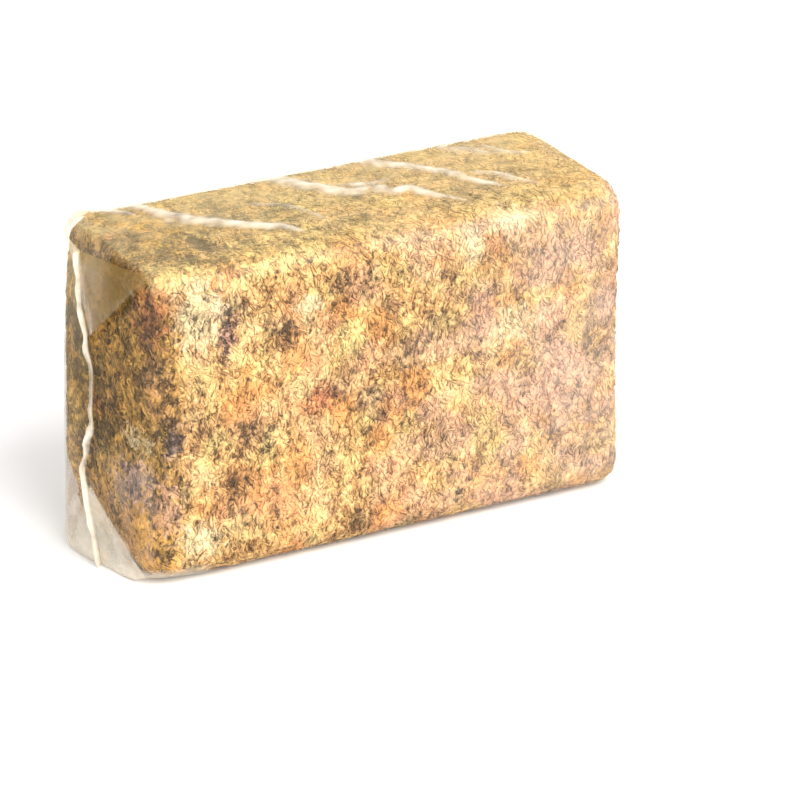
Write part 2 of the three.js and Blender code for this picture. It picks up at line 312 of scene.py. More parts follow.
# %% [markdown]
# Each section is a rectangle with round corners. Its points are spread with more of them on
# the top, where the creases will stand. The corners are round along the block and get tight
# where the film is folded square at the left end. The same function makes the outer film,
# with many points, and with few points the inner form that the moss is pressed against.

# %% The upright sections
LONG_EDGE_RADIUS = 17 * MM
FOLD_EDGE_RADIUS = 2.5 * MM
FOLD_EDGE_START = 22 * MM
FOLD_EDGE_RUN = 16 * MM
RIGHT_TOP_DROP = 7.5 * MM
ROUNDEST = 0.9
SMALLEST_WIDTH = 1e-9
FINE = {
    "right end": 8, "right corner": 8, "long side": 200, "left corner": 14, "wedge": 18,
    "fin": 5, "arc": 6, "up": 56, "across": 70,
}
COARSE = {
    "right end": 4, "right corner": 5, "long side": 30, "left corner": 8, "wedge": 6,
    "fin": 2, "arc": 5, "up": 20, "across": 16,
}


def section_grid(steps):
    """All sections at once, as an array of section, point and x, y, z, not yet settled."""
    front, behind = plan_sides(steps)
    x = (front[:, 0] + behind[:, 0]) / 2
    right_share = np.clip((x - HALF_LENGTH + UPRIGHT_EDGE_RADIUS) / UPRIGHT_EDGE_RADIUS, 0, 1)
    corner_share = np.clip((-x - HALF_LENGTH + FOLD_EDGE_START) / FOLD_EDGE_RUN, 0, 1)
    wedge_share = np.clip((-x - HALF_LENGTH) / SHOULDER_REACH, 0, 1)
    high = HEIGHT - RIGHT_TOP_DROP * right_share**3
    tighter = LONG_EDGE_RADIUS - FOLD_EDGE_RADIUS
    half = np.linalg.norm(front - behind, axis=1) / 2
    high_round = np.minimum(LONG_EDGE_RADIUS - tighter * corner_share, ROUNDEST * half)
    low_round = np.minimum(LONG_EDGE_RADIUS - tighter * wedge_share, ROUNDEST * half)
    middle = (front + behind) / 2
    across = (front - behind) / np.maximum(2 * half, SMALLEST_WIDTH)[:, None]

    # Side of the section, radius, height of the arc's centre, first angle, steps after it.
    corners = [
        (1, low_round, low_round, -90, steps["up"]),
        (1, high_round, high - high_round, 0, steps["across"]),
        (-1, high_round, high - high_round, 90, steps["up"]),
        (-1, low_round, low_round, 180, steps["across"]),
    ]

    def on_arc(corner, share):
        sideways, round_, centre_z, start, _ = corner
        angle = math.radians(start + 90 * share)
        return np.stack([
            sideways * (half - round_) + round_ * math.cos(angle),
            centre_z + round_ * math.sin(angle),
        ], axis=1)

    columns = []
    for corner, following in zip(corners, corners[1:] + corners[:1]):
        columns += [on_arc(corner, i / steps["arc"]) for i in range(steps["arc"] + 1)]
        from_, to = on_arc(corner, 1), on_arc(following, 0)
        columns += [from_ + (to - from_) * i / corner[4] for i in range(1, corner[4])]
    flat = np.stack(columns, axis=1)
    grid = np.empty(flat.shape[:2] + (3,))
    grid[..., :2] = middle[:, None] + across[:, None] * flat[..., :1]
    grid[..., 2] = flat[..., 1]
    return grid


print("sections and points a section:", section_grid(FINE).shape[:2])

# %% [markdown]
# The fin is a welded strip of two layers. It wanders as it goes up, as the table of its run
# says, and its free edge is crinkled as well: two short waves to the side and one that draws
# the edge in. They fade out at the very top, where the film is folded square.

# %% The fin's run and its crinkles
CRINKLES_END = 0.93


def fin_run(z):
    """The fin's three shifts at a height, running smoothly from one row to the next."""
    rows = FIN_RUN[:, 0]
    after = np.clip(np.searchsorted(rows, z), 1, len(rows) - 1)
    share = smoothstep(rows[after - 1], rows[after], z)[..., None]
    return np.moveaxis((1 - share) * FIN_RUN[after - 1, 1:] + share * FIN_RUN[after, 1:], -1, 0)


def fin_crinkle(share_up):
    """How far the fin's free edge is crinkled to the back and in towards the block."""
    to_back = 0.7 * MM * np.sin(share_up * 47 + 0.6) + 0.45 * MM * np.sin(share_up * 101)
    inwards = 0.5 * MM + 0.5 * MM * np.sin(share_up * 67 + 2)
    fade = smoothstep(1, CRINKLES_END, share_up)
    return to_back * fade, inwards * fade


# %% [markdown]
# A section on its own stands straight. Settling moves the points of all of them: the fin
# gets its run and its crinkles, the shoulder behind it spreads towards the foot, and the two
# upright edges of the front are worn round, most at half height.

# %% How the sections settle
WORN_LEFT_DEPTH = 5 * MM
WORN_RIGHT_DEPTH = 2 * MM
WORN_EDGE_SPREAD = 15 * MM
FIN_REACH_Y = 20 * MM


def settle(grid):
    """Gives the fin its run, spreads its shoulder and wears the near edges round."""
    x, y, z = (grid[..., i].copy() for i in range(3))
    share_up = np.clip(z / HEIGHT, 0, 1)
    beyond_root = np.clip((FIN_ROOT_X - x) / FIN_WIDTH, 0, 1)
    outward = np.clip((-HALF_LENGTH - x) / WEDGE_REACH, 0, 1)
    near_fin = np.clip((FIN_REACH_Y - y) / (FIN_REACH_Y - FIN_Y), 0, 1)
    bulge = np.sin(np.pi * share_up) ** 2

    def worn(edge_x, depth):
        away = np.hypot(x - edge_x, y + HALF_DEPTH) / WORN_EDGE_SPREAD
        return depth * bulge * np.exp(-away * away) * math.sqrt(0.5)

    left_wear, right_wear = worn(-HALF_LENGTH, WORN_LEFT_DEPTH), worn(HALF_LENGTH, WORN_RIGHT_DEPTH)
    root_in, root_back, edge_back = fin_run(np.clip(z, 0, HEIGHT))
    settled = grid.copy()
    settled[..., 0] += root_in * outward * near_fin
    settled[..., 0] -= SHOULDER_BOTTOM_REACH * (1 - share_up) * outward * (1 - near_fin)
    settled[..., 0] += left_wear - right_wear
    settled[..., 1] += left_wear + right_wear
    settled[..., 1] += (root_back * outward + edge_back * beyond_root) * near_fin
    crinkle_back, crinkle_in = fin_crinkle(share_up)
    settled[..., 1] += crinkle_back * beyond_root
    settled[..., 0] += crinkle_in * beyond_root
    return settled


# %% [markdown]
# A flat grid is rolled into the tube: its rows become the sections. The seam and both ends
# are merged, which closes the mesh. Where each vertex lay before it settled is kept on it,
# because that tells the wedge from the fin when they are made milky.

# %% Rolling the film


def rolled_film(name, steps, inset):
    """A closed bag skinned over the sections, with no fold pockets yet."""
    grid = section_grid(steps)
    settled = settle(grid)
    rings, around = grid.shape[:2]
    bpy.ops.object.select_all(action="DESELECT")
    bpy.ops.mesh.primitive_grid_add(x_subdivisions=rings - 1, y_subdivisions=around, size=1)
    film = bpy.context.object
    film.name = film.data.name = name
    places = points_of(film)
    ring = np.rint((places[:, 0] + 0.5) * (rings - 1)).astype(int)
    step = np.rint((places[:, 1] + 0.5) * around).astype(int) % around
    put_points(film, settled[ring, step] + np.array([BLOCK_X, 0, 0]))
    store(film, "plain_x", grid[ring, step, 0])
    store(film, "plain_y", grid[ring, step, 1])
    store(film, "inner_sheet", np.zeros(len(places)))
    edit_all()
    bpy.ops.mesh.remove_doubles(threshold=WELD_DISTANCE)
    bpy.ops.mesh.normals_make_consistent(inside=False)
    edit_done()
    put_points(film, points_of(film) - inset * normals_of(film))
    print(name, "rolled with", triangles(film), "triangles")
    return film


film_bag = rolled_film("film_bag_skin", FINE, 0)

# %% [markdown]
# At the top and at the foot of the wedge the film is tucked in. A maker folds a gusset: the
# flat top of the wedge is opened, filled with one face, poked, and the new middle point is
# pulled down along the fin. That leaves two sheets against the outer panels and one on the
# moss, with an open pocket between them.

# %% The fold pockets
TOP_FOLD_DEPTH = 49 * MM
BOTTOM_FOLD_DEPTH = 48 * MM
POCKET_START_X = 3 * MM - HALF_LENGTH
FOLD_POINT_IN = 1.5 * MM
FLAT_WITHIN = 0.3 * MM
FIN_ROOT_WITHIN = 0.1 * MM
CUTS_IN_A_SPOKE = 7


def fold_point(at_top):
    """Where a fold's inner point lies, at the fin's root, measured from the block's middle."""
    z = HEIGHT - TOP_FOLD_DEPTH if at_top else BOTTOM_FOLD_DEPTH
    root_in, root_back, _ = fin_run(z)
    return FIN_ROOT_X + root_in + FOLD_POINT_IN, FIN_Y + root_back, z


def open_wedge(film, at_top):
    """Deletes the flat top or foot of the wedge, up to the fin's root."""
    level = HEIGHT if at_top else 0
    centres = np.array([face.center for face in film.data.polygons])
    flat = np.abs(centres[:, 2] - level) < FLAT_WITHIN
    outside = centres[:, 0] < POCKET_START_X + BLOCK_X
    plain_x = fetch(film, "plain_x")
    short_of_fin = np.array([
        plain_x[list(face.vertices)].min() > FIN_ROOT_X - FIN_ROOT_WITHIN
        for face in film.data.polygons
    ])
    edit_chosen(film, "FACE", flat & outside & short_of_fin)
    bpy.ops.mesh.delete(type="FACE")
    edit_done()


def tuck(film, at_top):
    """Opens the top or foot of the wedge, fills it, and pulls the filling in to a point."""
    only(film)
    open_wedge(film, at_top)
    outer_vertices = len(film.data.vertices)
    bpy.ops.object.mode_set(mode="EDIT")
    bpy.ops.mesh.select_mode(type="EDGE")
    bpy.ops.mesh.select_non_manifold(extend=False, use_wire=False, use_multi_face=False)
    bpy.ops.mesh.edge_face_add()
    bpy.ops.mesh.poke()
    edit_done()
    x, y, z = fold_point(at_top)
    point = film.data.vertices[-1]
    point.co = (BLOCK_X + x, y, z)
    edit_chosen(film, "EDGE", [point.index in edge.vertices for edge in film.data.edges])
    bpy.ops.mesh.subdivide(number_cuts=CUTS_IN_A_SPOKE)
    edit_done()
    inner_sheet = fetch(film, "inner_sheet")
    inner_sheet[outer_vertices:] = 1
    store(film, "inner_sheet", inner_sheet)


tuck(film_bag, True)
tuck(film_bag, False)
print("film bag has", triangles(film_bag), "triangles")

# %% [markdown]
# At the near left corner the film is crumpled up under the block, so the foot isn't square
# there. The foot's vertices are lifted near that corner, and the lift fades along the front,
# towards the back and up the sides. The press form for the moss gets the same lift.

# %% The raised corner of the foot
CORNER_RAISE = 2.6 * MM


def raise_corner(film):
    """Lifts the near left corner of the foot."""
    points = points_of(film)
    x = points[:, 0] - BLOCK_X
    share = smoothstep(-104 * MM, -146 * MM, x) * smoothstep(-24 * MM, -54 * MM, points[:, 1])
    points[:, 2] += CORNER_RAISE * share * smoothstep(16 * MM, 1 * MM, points[:, 2])
    put_points(film, points)


raise_corner(film_bag)
print("foot corner raised by", round(CORNER_RAISE / MM, 1), "mm")

# %% [markdown]
# The moss is pressed hard against the inside of the film. A second, coarser bag just inside
# the first serves as the press form later: whatever stands out through it is pushed back.
# Where the folds are tucked in, a flat plate on the inner sheet of each fold does the same,
# and a third plate holds the moss up at the left of its foot, where the film stands empty.

# %% The press form and its three plates
PRESS_INSET = 0.5 * MM
FOLD_NEAR_Y, FOLD_FAR_Y = -53 * MM, 47 * MM
EMPTY_FOOT_X = -125 * MM
EMPTY_FOOT_SLOPE = 0.19
press_form = rolled_film("press_form", COARSE, PRESS_INSET)
raise_corner(press_form)


def fold_plate(at_top):
    """A point and the outward normal of the plane in which a fold's inner sheet lies."""
    level = HEIGHT if at_top else 0
    near = Vector((POCKET_START_X, FOLD_NEAR_Y, level))
    far = Vector((POCKET_START_X, FOLD_FAR_Y, level))
    point = Vector(fold_point(at_top))
    normal = (near - point).cross(far - point).normalized()
    if normal.x > 0:
        normal.negate()
    return point + Vector((BLOCK_X, 0, 0)) - normal * PRESS_INSET, normal


empty_foot = Vector((EMPTY_FOOT_X + BLOCK_X, 0, 0))
PLATES = [
    fold_plate(True),
    fold_plate(False),
    (empty_foot, Vector((-EMPTY_FOOT_SLOPE, 0, -1)).normalized()),
]
print("plates face", [tuple(round(part, 2) for part in normal) for _, normal in PLATES])

# %% [markdown]
# Pleats of slack film stand on the top, aslant from the back edge to the front. Each is a
# line of points, measured from the block's middle, with its width and its whiteness.

# %% Where the pleats of the top run
# Half the width of each at its widest, how milky it is, and the points that it runs through.
TOP_PLEATS = [
    (2.5, 0.75, [(-141, 52), (-127, 44), (-120, 39), (-113, 29)]),
    (6.8, 1.0, [(-114, 52), (-107, 38), (-97, 19), (-88, 7), (-71, -8), (-53, -22), (-45, -34)]),
    (2.2, 0.5, [(-53, 16), (-32, -2), (-25, -30)]),
    (6.6, 0.95, [(-54, 50), (-26, 46), (-17, 35), (-9, 22), (3, 6), (12, 5), (20, 8), (32, 12)]),
    (5.8, 0.85, [(6, 16), (20, 8), (26, -5), (38, -6), (43, -19), (56, -38)]),
    (5.6, 0.9, [(32, 48), (37, 41), (47, 30), (57, 18), (69, 2), (76, -15), (86, -30)]),
    (3.6, 0.6, [(79, 0), (90, -9), (98, -24), (106, -36)]),
    (4.8, 0.75, [(82, 42), (95, 30), (104, 20)]),
    (3.4, 0.6, [(105, 33), (113, 15), (124, 11)]),
]
print("pleats on the top:", len(TOP_PLEATS))

# %% [markdown]
# A line of points is drawn as one smooth curve. A maker judges by eye how near a place lies
# to such a curve, and here a helper measures it for every vertex. The last helper adds up a
# few sine waves that run in random ways, which gives a soft swell. It is used wherever film
# wanders, ripples or bulges, and its seed makes it the same each time.

# %% Helpers for lines and swells
WAVES_IN_A_SWELL = 9


def smooth_route(places, steps=14):
    """A curve through the given points, as many short straight pieces."""
    points = np.array(places, float)
    padded = np.vstack([2 * points[0] - points[1], points, 2 * points[-1] - points[-2]])
    t = np.linspace(0, 1, steps, endpoint=False)[:, None]
    route = []
    for before, start, end, after in zip(padded, padded[1:], padded[2:], padded[3:]):
        route.append(0.5 * (
            2 * start + (end - before) * t + (2 * before - 5 * start + 4 * end - after) * t**2
            + (3 * start - before - 3 * end + after) * t**3
        ))
    return np.vstack(route + [points[-1:]])


def along_route(points, route):
    """For every point, the distance to a route and the share of its length at that place."""
    nearest = np.full(len(points), np.inf)
    share = np.zeros(len(points))
    runs = len(route) - 1
    for i, (start, end) in enumerate(zip(route, route[1:])):
        run = end - start
        t = np.clip((points - start) @ run / (run @ run), 0, 1)
        away = np.linalg.norm(points - start - t[:, None] * run, axis=1)
        closer = away < nearest
        nearest[closer] = away[closer]
        share[closer] = (i + t[closer]) / runs
    return nearest, share


def waves(points, length, seed):
    """A soft random swell between -1 and 1 with waves of about the given length."""
    rng = np.random.default_rng(seed)
    swell = np.zeros(len(points))
    for _ in range(WAVES_IN_A_SWELL):
        way = rng.normal(size=3)
        way *= 2 * math.pi / (np.linalg.norm(way) * length * rng.uniform(0.7, 1.5))
        swell += np.sin(points @ way + rng.uniform(0, 2 * math.pi))
    return swell / 4


# %% [markdown]
# The film's vertices close to a pleat's line are lifted, most in its middle, and made milky,
# because the film lies there in more than one layer. The film of the top is golden where it
# lies on the moss, and the pleats stay white.

# %% Raising the pleats
PLEAT_HEIGHT = 1.3 * MM
PLEAT_WANDER = 0.9 * MM
WANDER_LENGTH = 14 * MM
RIPPLE_LENGTH = 9 * MM
RIPPLE_SEED = 40
TOP_BAND = 12 * MM
skin = points_of(film_bag) - np.array([BLOCK_X, 0, 0])
skin_normals = normals_of(film_bag)
lift = np.zeros(len(skin))
golden = smoothstep(HEIGHT - 10 * MM, HEIGHT - 3 * MM, skin[:, 2])
haze_and_sheen = 0.02 + golden * (0.13 + 0.17 * smoothstep(-40 * MM, 35 * MM, skin[:, 1]))
top_rows = np.flatnonzero(skin[:, 2] > HEIGHT - TOP_BAND)
for number, (half_width, whiteness, places) in enumerate(TOP_PLEATS):
    route = smooth_route(np.array(places) * MM)
    in_space = np.column_stack([route, 0 * route[:, 0]])
    route[:, 0] += PLEAT_WANDER * waves(in_space, WANDER_LENGTH, number)
    away, share = along_route(skin[top_rows, :2], route)
    taper = 0.25 + 0.75 * np.sin(np.pi * np.clip(share, 0, 1) ** 0.8) ** 0.7
    ripple = waves(skin[top_rows], RIPPLE_LENGTH, RIPPLE_SEED + number)
    width = half_width * MM * taper * (1 + 0.18 * ripple)
    crest = np.clip(1 - (away / width) ** 2, 0, 1)
    lift[top_rows] = np.maximum(lift[top_rows], PLEAT_HEIGHT * taper * crest**1.5)
    soft_crest = np.clip(1 - (away / (1.6 * width)) ** 2, 0, 1) ** 1.6
    white = 0.85 * whiteness * soft_crest * (0.8 + 0.2 * ripple) * np.minimum(1, 0.3 + taper)
    haze_and_sheen[top_rows] = np.maximum(haze_and_sheen[top_rows], white)
    golden[top_rows] = np.minimum(golden[top_rows], 1 - 0.85 * soft_crest)
print("pleats lift", int((lift > 0).sum()), "vertices of the film")

# %% [markdown]
# The doubled film of the fold pockets is hazy. A texture could paint it, but a number kept
# on each vertex follows the folds exactly. The y of a vertex before it settled tells the
# near panel of the wedge from the far one. On each the haze fills the triangle between the
# top or the foot and the line that runs in to the fold's point.

# %% Haze of the fold pockets
NEAR_PANEL_EDGE = 57 * MM
FAR_PANEL_EDGE = 52 * MM
FOLD_LINE_BLUR = 0.8 * MM


def raise_haze_and_sheen(amount):
    """Raises the film's haze and painted sheen to at least this amount, and leaves what is higher
    as it is.
    """
    np.maximum(haze_and_sheen, amount, out=haze_and_sheen)


z = skin[:, 2]
x, y = fetch(film_bag, "plain_x"), fetch(film_bag, "plain_y")
near_share = np.clip((y + NEAR_PANEL_EDGE) / (NEAR_PANEL_EDGE + FIN_Y), 0, 1)
far_share = np.clip((FAR_PANEL_EDGE - y) / (FAR_PANEL_EDGE - FIN_Y), 0, 1)
is_near = y < FIN_Y
panel_share = np.where(is_near, near_share, far_share)
in_wedge = smoothstep(-147 * MM, -149 * MM, x)
above_fold = z - (HEIGHT - TOP_FOLD_DEPTH * panel_share)
below_fold = BOTTOM_FOLD_DEPTH * panel_share - z
top_fold = in_wedge * smoothstep(-FOLD_LINE_BLUR, FOLD_LINE_BLUR, above_fold)
bottom_fold = in_wedge * smoothstep(-FOLD_LINE_BLUR, FOLD_LINE_BLUR, below_fold)
inner_sheet = fetch(film_bag, "inner_sheet") > 0.5
raise_haze_and_sheen(np.where(is_near, 0.42, 0.2) * top_fold * ~inner_sheet)
raise_haze_and_sheen(np.where(is_near, 0.31, 0.36) * bottom_fold * ~inner_sheet)
raise_haze_and_sheen(np.where(is_near, 0.2, 0.14) * inner_sheet)
print("vertices in the folds:", int(((top_fold > 0.5) | (bottom_fold > 0.5)).sum()))

# %% [markdown]
# The near panel has a faint haze in its lower half. The far panel looks golden from about
# half its height up, where the moss lies close behind it. Its outermost strip runs round the
# far left corner and is seen almost edge on, so a painted sheen makes it milkier, most of all
# low down.

# %% Haze of the panels and of the far edge
FAR_EDGE_SHEEN_GOLD = 0.4
raise_haze_and_sheen(0.09 * in_wedge * is_near * smoothstep(95 * MM, 55 * MM, z))
is_far = in_wedge * ~is_near * ~inner_sheet
raise_haze_and_sheen(0.1 * is_far)
golden = np.maximum(golden, is_far * smoothstep(60 * MM, 90 * MM, z))
# Painted sheen along the far edge, where the film is seen edge on, given as milkiness.
far_edge_sheen = smoothstep(22 * MM, 42 * MM, y) * smoothstep(-138 * MM, -146 * MM, x) * ~inner_sheet
raise_haze_and_sheen((0.5 - 0.4 * smoothstep(110 * MM, 150 * MM, z)) * far_edge_sheen)
golden += (FAR_EDGE_SHEEN_GOLD - golden) * far_edge_sheen
print("far edge is", round(float(haze_and_sheen[far_edge_sheen > 0.5].mean()), 2), "haze_and_sheen")

# %% [markdown]
# The welded fin is nearly white, and whitest along its root and its free edge: that extra
# white, and the soft waves in its whiteness, partly paint the highlights that these edges
# catch. About half way up only the middle of the strip is white, so it looks thinner there.
# Low down its two layers part in a small loop that lets the moss show through.

# %% The whiteness of the fin
THIN_PART_LOW, THIN_PART_HIGH = 80 * MM, 134 * MM
LOOP_HEIGHT, LOOP_SPREAD = 70 * MM, 8 * MM
fin_share = np.clip((FIN_ROOT_X - x) / FIN_WIDTH, 0, 1)
at_fin = smoothstep(0.05, 0.5, fin_share)
off_middle = np.abs(2 * fin_share - 1)
thin_part = (
    smoothstep(THIN_PART_LOW, THIN_PART_LOW + 12 * MM, z)
    * smoothstep(THIN_PART_HIGH, THIN_PART_HIGH - 10 * MM, z)
)
open_loop = np.exp(-(((z - LOOP_HEIGHT) / LOOP_SPREAD) ** 2))
# White of the welded fin, partly painted highlights along its root and its free edge.
fin_milk_and_highlight = 0.66 + 0.2 * off_middle * (1 - 4 * thin_part) + 0.12 * waves(skin, 9 * MM, 9)
fin_milk_and_highlight -= 0.5 * (1 - off_middle) * open_loop
raise_haze_and_sheen(np.clip(fin_milk_and_highlight, 0.1, 0.95) * at_fin)
golden *= 1 - at_fin
print("fin is", round(float(haze_and_sheen[at_fin > 0.9].mean()), 2), "haze_and_sheen")

# %% [markdown]
# In the upper near fold the brown moss shines through the doubled film, so that triangle is
# warm instead of white. Its dark brown milk is partly that moss and partly painted shade of
# the pocket. Along its edge runs a sharp crease of the film, which is white again.

# %% The warm fold and its crease
CREASE_WIDTH = 0.7 * MM
# Dark brown on the fold: partly the moss behind, partly painted shade of the pocket.
shaded_brown = smoothstep(-9 * MM, -5 * MM, above_fold) * in_wedge * is_near * (1 - at_fin)
shaded_brown = np.maximum(shaded_brown, inner_sheet * is_near * (z > HEIGHT / 2))
shaded_brown *= 1 - 0.3 * smoothstep(-157 * MM, -166 * MM, x)
crease = np.exp(-((above_fold / CREASE_WIDTH) ** 2)) * in_wedge * is_near * (1 - at_fin)
raise_haze_and_sheen(0.4 * crease)
shaded_brown *= 1 - 0.45 * crease
print("vertices in the warm fold:", int((shaded_brown > 0.5).sum()))

# %% [markdown]
# Three more places are hazy. The film of the front turns a little milkier towards the right,
# which is a painted sheen for the light's reflection there. The shoulder at the back of the
# top's left end is loose, and at the left the film of the foot stands empty; its milkiness
# there is partly that crumpled film and partly a painted reflection over the shade beneath.

# %% Haze of the front, the shoulder and the foot
on_front = smoothstep(-52 * MM, -57 * MM, y)
# Painted sheen: the front's film grows milkier to the right for the light's reflection.
haze_and_sheen += 0.11 * on_front * smoothstep(-20 * MM, 140 * MM, x)
shoulder = smoothstep(40 * MM, 56 * MM, y) * smoothstep(HEIGHT - 14 * MM, HEIGHT - 3 * MM, z)
raise_haze_and_sheen(0.45 * shoulder * smoothstep(-95 * MM, -115 * MM, x))
# The empty foot: crumpled film, partly a painted reflection over the shade beneath.
foot = smoothstep(14 * MM, 6 * MM, z) * smoothstep(-108 * MM, -130 * MM, x)
raise_haze_and_sheen(0.6 * foot)
print("film is", round(float(haze_and_sheen.mean()), 3), "milky on the whole")

# %% [markdown]
# Film is never quite flat. Soft swells push it outwards by a fraction of a millimetre where
# it is tight, and by up to about a millimetre on the loose panels of the wedge.

# %% Swells of the film
SWELL_LENGTH = 26 * MM
SMOOTH_ANGLE = math.radians(40)
swell = 0.5 + 0.5 * waves(skin * np.array([1, 1, 0.5]), SWELL_LENGTH, 7)
fine = 0.5 + 0.5 * waves(skin, RIPPLE_LENGTH, 8)
lift += (0.12 + 0.5 * in_wedge) * MM * swell + (0.06 + 0.1 * in_wedge) * MM * fine
lift *= smoothstep(0.1 * MM, 6 * MM, z) * (1 - fin_share)
put_points(film_bag, points_of(film_bag) + skin_normals * lift[:, None])
for note, values in (("haze_and_sheen", haze_and_sheen), ("shaded_brown", shaded_brown), ("golden", golden)):
    store(film_bag, note, values)
only(film_bag)
bpy.ops.object.shade_smooth_by_angle(angle=SMOOTH_ANGLE)
print("film stands out by up to", round(float(lift.max()) / MM, 2), "mm")

# %% [markdown]
# The right end's spare film is folded over and lies flat as an upright flap. It is a thin
# strip: a cube at the flap's size, subdivided, rippled and joined to the bag.

# %% The flap on the right end
FLAP_WIDTH = 16 * MM
FLAP_HEIGHT = 168 * MM
FLAP_THICKNESS = 1 * MM
FLAP_STANDS_OUT = 0.4 * MM
FLAP_RIPPLE = 0.35 * MM
FLAP_CUTS = 24
bpy.ops.object.select_all(action="DESELECT")
bpy.ops.mesh.primitive_cube_add(size=1)
flap = bpy.context.object
bpy.ops.transform.resize(value=(FLAP_THICKNESS, FLAP_WIDTH, FLAP_HEIGHT))
bpy.ops.transform.translate(value=(
    BLOCK_X + HALF_LENGTH + RIGHT_END_RISE + FLAP_STANDS_OUT,
    FLAP_WIDTH / 4,
    HEIGHT / 2 - RIGHT_TOP_DROP / 2,
))
bpy.ops.object.transform_apply(location=True, rotation=True, scale=True)
edit_all()
bpy.ops.mesh.subdivide(number_cuts=FLAP_CUTS)
edit_done()
flap_points = points_of(flap)
flap_points[:, 0] += FLAP_RIPPLE * waves(flap_points, 22 * MM, 15)
put_points(flap, flap_points)
store(flap, "haze_and_sheen", 0.14 + 0.08 * waves(flap_points, 30 * MM, 16))
store(flap, "shaded_brown", np.zeros(len(flap_points)))
store(flap, "golden", np.zeros(len(flap_points)))
film_bag.select_set(True)
bpy.context.view_layer.objects.active = film_bag
bpy.ops.object.join()
print("film bag with its flap has", triangles(film_bag), "triangles")

# %% [markdown]
# Under the sprigs lies the pressed mass itself. A cube could be shaped and roughened, but
# the frame's moss solid has the right form already. Its faces are large, so a copy of it is
# merged and remeshed finely. Then it is filled out to the press form wherever the film lies
# tight on it: everywhere but in the wedge, and there on the far side above the foot.

# %% The pressed mass
VOXEL = 2.2 * MM
only(frame["nodes"]["moss_block"])
bpy.ops.object.duplicate()
moss_mass = bpy.context.object
moss_mass.parent = None
moss_mass.name = moss_mass.data.name = "moss_mass"
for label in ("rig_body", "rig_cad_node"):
    if label in moss_mass:
        del moss_mass[label]
edit_all()
bpy.ops.mesh.remove_doubles(threshold=WELD_DISTANCE)
edit_done()
remesh = moss_mass.modifiers.new("fine mesh", "REMESH")
remesh.mode = "VOXEL"
remesh.voxel_size = VOXEL
finish_modifiers(moss_mass)
against_film = moss_mass.vertex_groups.new(name="against_film")
for vertex in moss_mass.data.vertices:
    flush = smoothstep(-152 * MM, -138 * MM, vertex.co.x - BLOCK_X)
    far_side = smoothstep(4 * MM, 26 * MM, vertex.co.y)
    half_up = smoothstep(20 * MM, 60 * MM, vertex.co.z)
    share = float(max(flush, far_side * half_up))
    against_film.add([vertex.index], share, "REPLACE")
filled_out = moss_mass.modifiers.new("filled out", "SHRINKWRAP")
filled_out.target = press_form
filled_out.vertex_group = "against_film"
finish_modifiers(moss_mass)
print("pressed mass has", triangles(moss_mass), "triangles")

# %% [markdown]
# The mass isn't smooth: it has wide lumps, and on them knots the size of a branchlet. Two
# displacements with cloud textures give both. Then it is drawn in by about a millimetre, so
# that the sprigs that lie on it reach the film, and deeper where the block has a hollow.
# Last, the plates push it back, and a shrinkwrap holds all of it inside the press form.

# %% The relief of the mass
SPRIG_DEPTH = 1 * MM
LEAST_SPRIG_DEPTH = 0.45 * MM
RELIEF = (("lumps", 11 * MM, 1.6 * MM), ("knots", 3.6 * MM, 1.2 * MM))
# The place of each hollow, how wide it is and how deep, in millimetres from the block's
# middle and its foot. Each is longer upright than across, as the strands run.
HOLLOWS = [
    (-103, -60, 145, 5, 4), (-68, -60, 135, 4, 2), (-1, -60, 140, 5, 2.5), (-46, -60, 96, 7, 1),
    (-91, -60, 86, 6, 1.5), (60, -60, 164, 7, 1.5), (-150, -30, 62, 9, 1.5),
    (-101, -20, 186, 6, 3), (30, 8, 186, 8, 2), (40, 60, 110, 9, 3), (-60, 60, 60, 7, 3),
    (150, 12, 90, 9, 3),
]
HOLLOW_STRETCH = np.array([1, 1, 1.6])
before_relief = points_of(moss_mass)
for label, size, strength in RELIEF:
    clouds = bpy.data.textures.new(label, "CLOUDS")
    clouds.noise_scale = size
    relief = moss_mass.modifiers.new(label, "DISPLACE")
    relief.texture = clouds
    relief.texture_coords = "LOCAL"
    relief.strength = strength
    relief.mid_level = 0.5
finish_modifiers(moss_mass)
depth = np.full(len(before_relief), SPRIG_DEPTH)
for x, y, z, spread, deep in HOLLOWS:
    centre = np.array([x * MM + BLOCK_X, y * MM, z * MM])
    away = np.linalg.norm((before_relief - centre) / HOLLOW_STRETCH, axis=1) / (spread * MM)
    depth += deep * MM * np.exp(-away * away)
pressed = points_of(moss_mass) - depth[:, None] * normals_of(moss_mass)
for point, outwards in PLATES:
    beyond = np.maximum((pressed - np.array(point)) @ np.array(outwards) + SPRIG_DEPTH, 0)
    pressed -= beyond[:, None] * np.array(outwards)
put_points(moss_mass, pressed)
held_in = moss_mass.modifiers.new("held in", "SHRINKWRAP")
held_in.target = press_form
held_in.wrap_mode = "INSIDE"
held_in.offset = LEAST_SPRIG_DEPTH
finish_modifiers(moss_mass)
bpy.ops.object.shade_smooth()
print("mass is drawn in by", round(float(np.median(depth)) / MM, 1), "mm, with", len(HOLLOWS),
      "hollows")

# %% [markdown]
# Each part of the surface belongs to the one of six sides that it lies nearest to, and the
# long front is split in two. The sprigs are made side by side, in seven pieces, so that no
# piece grows too heavy.

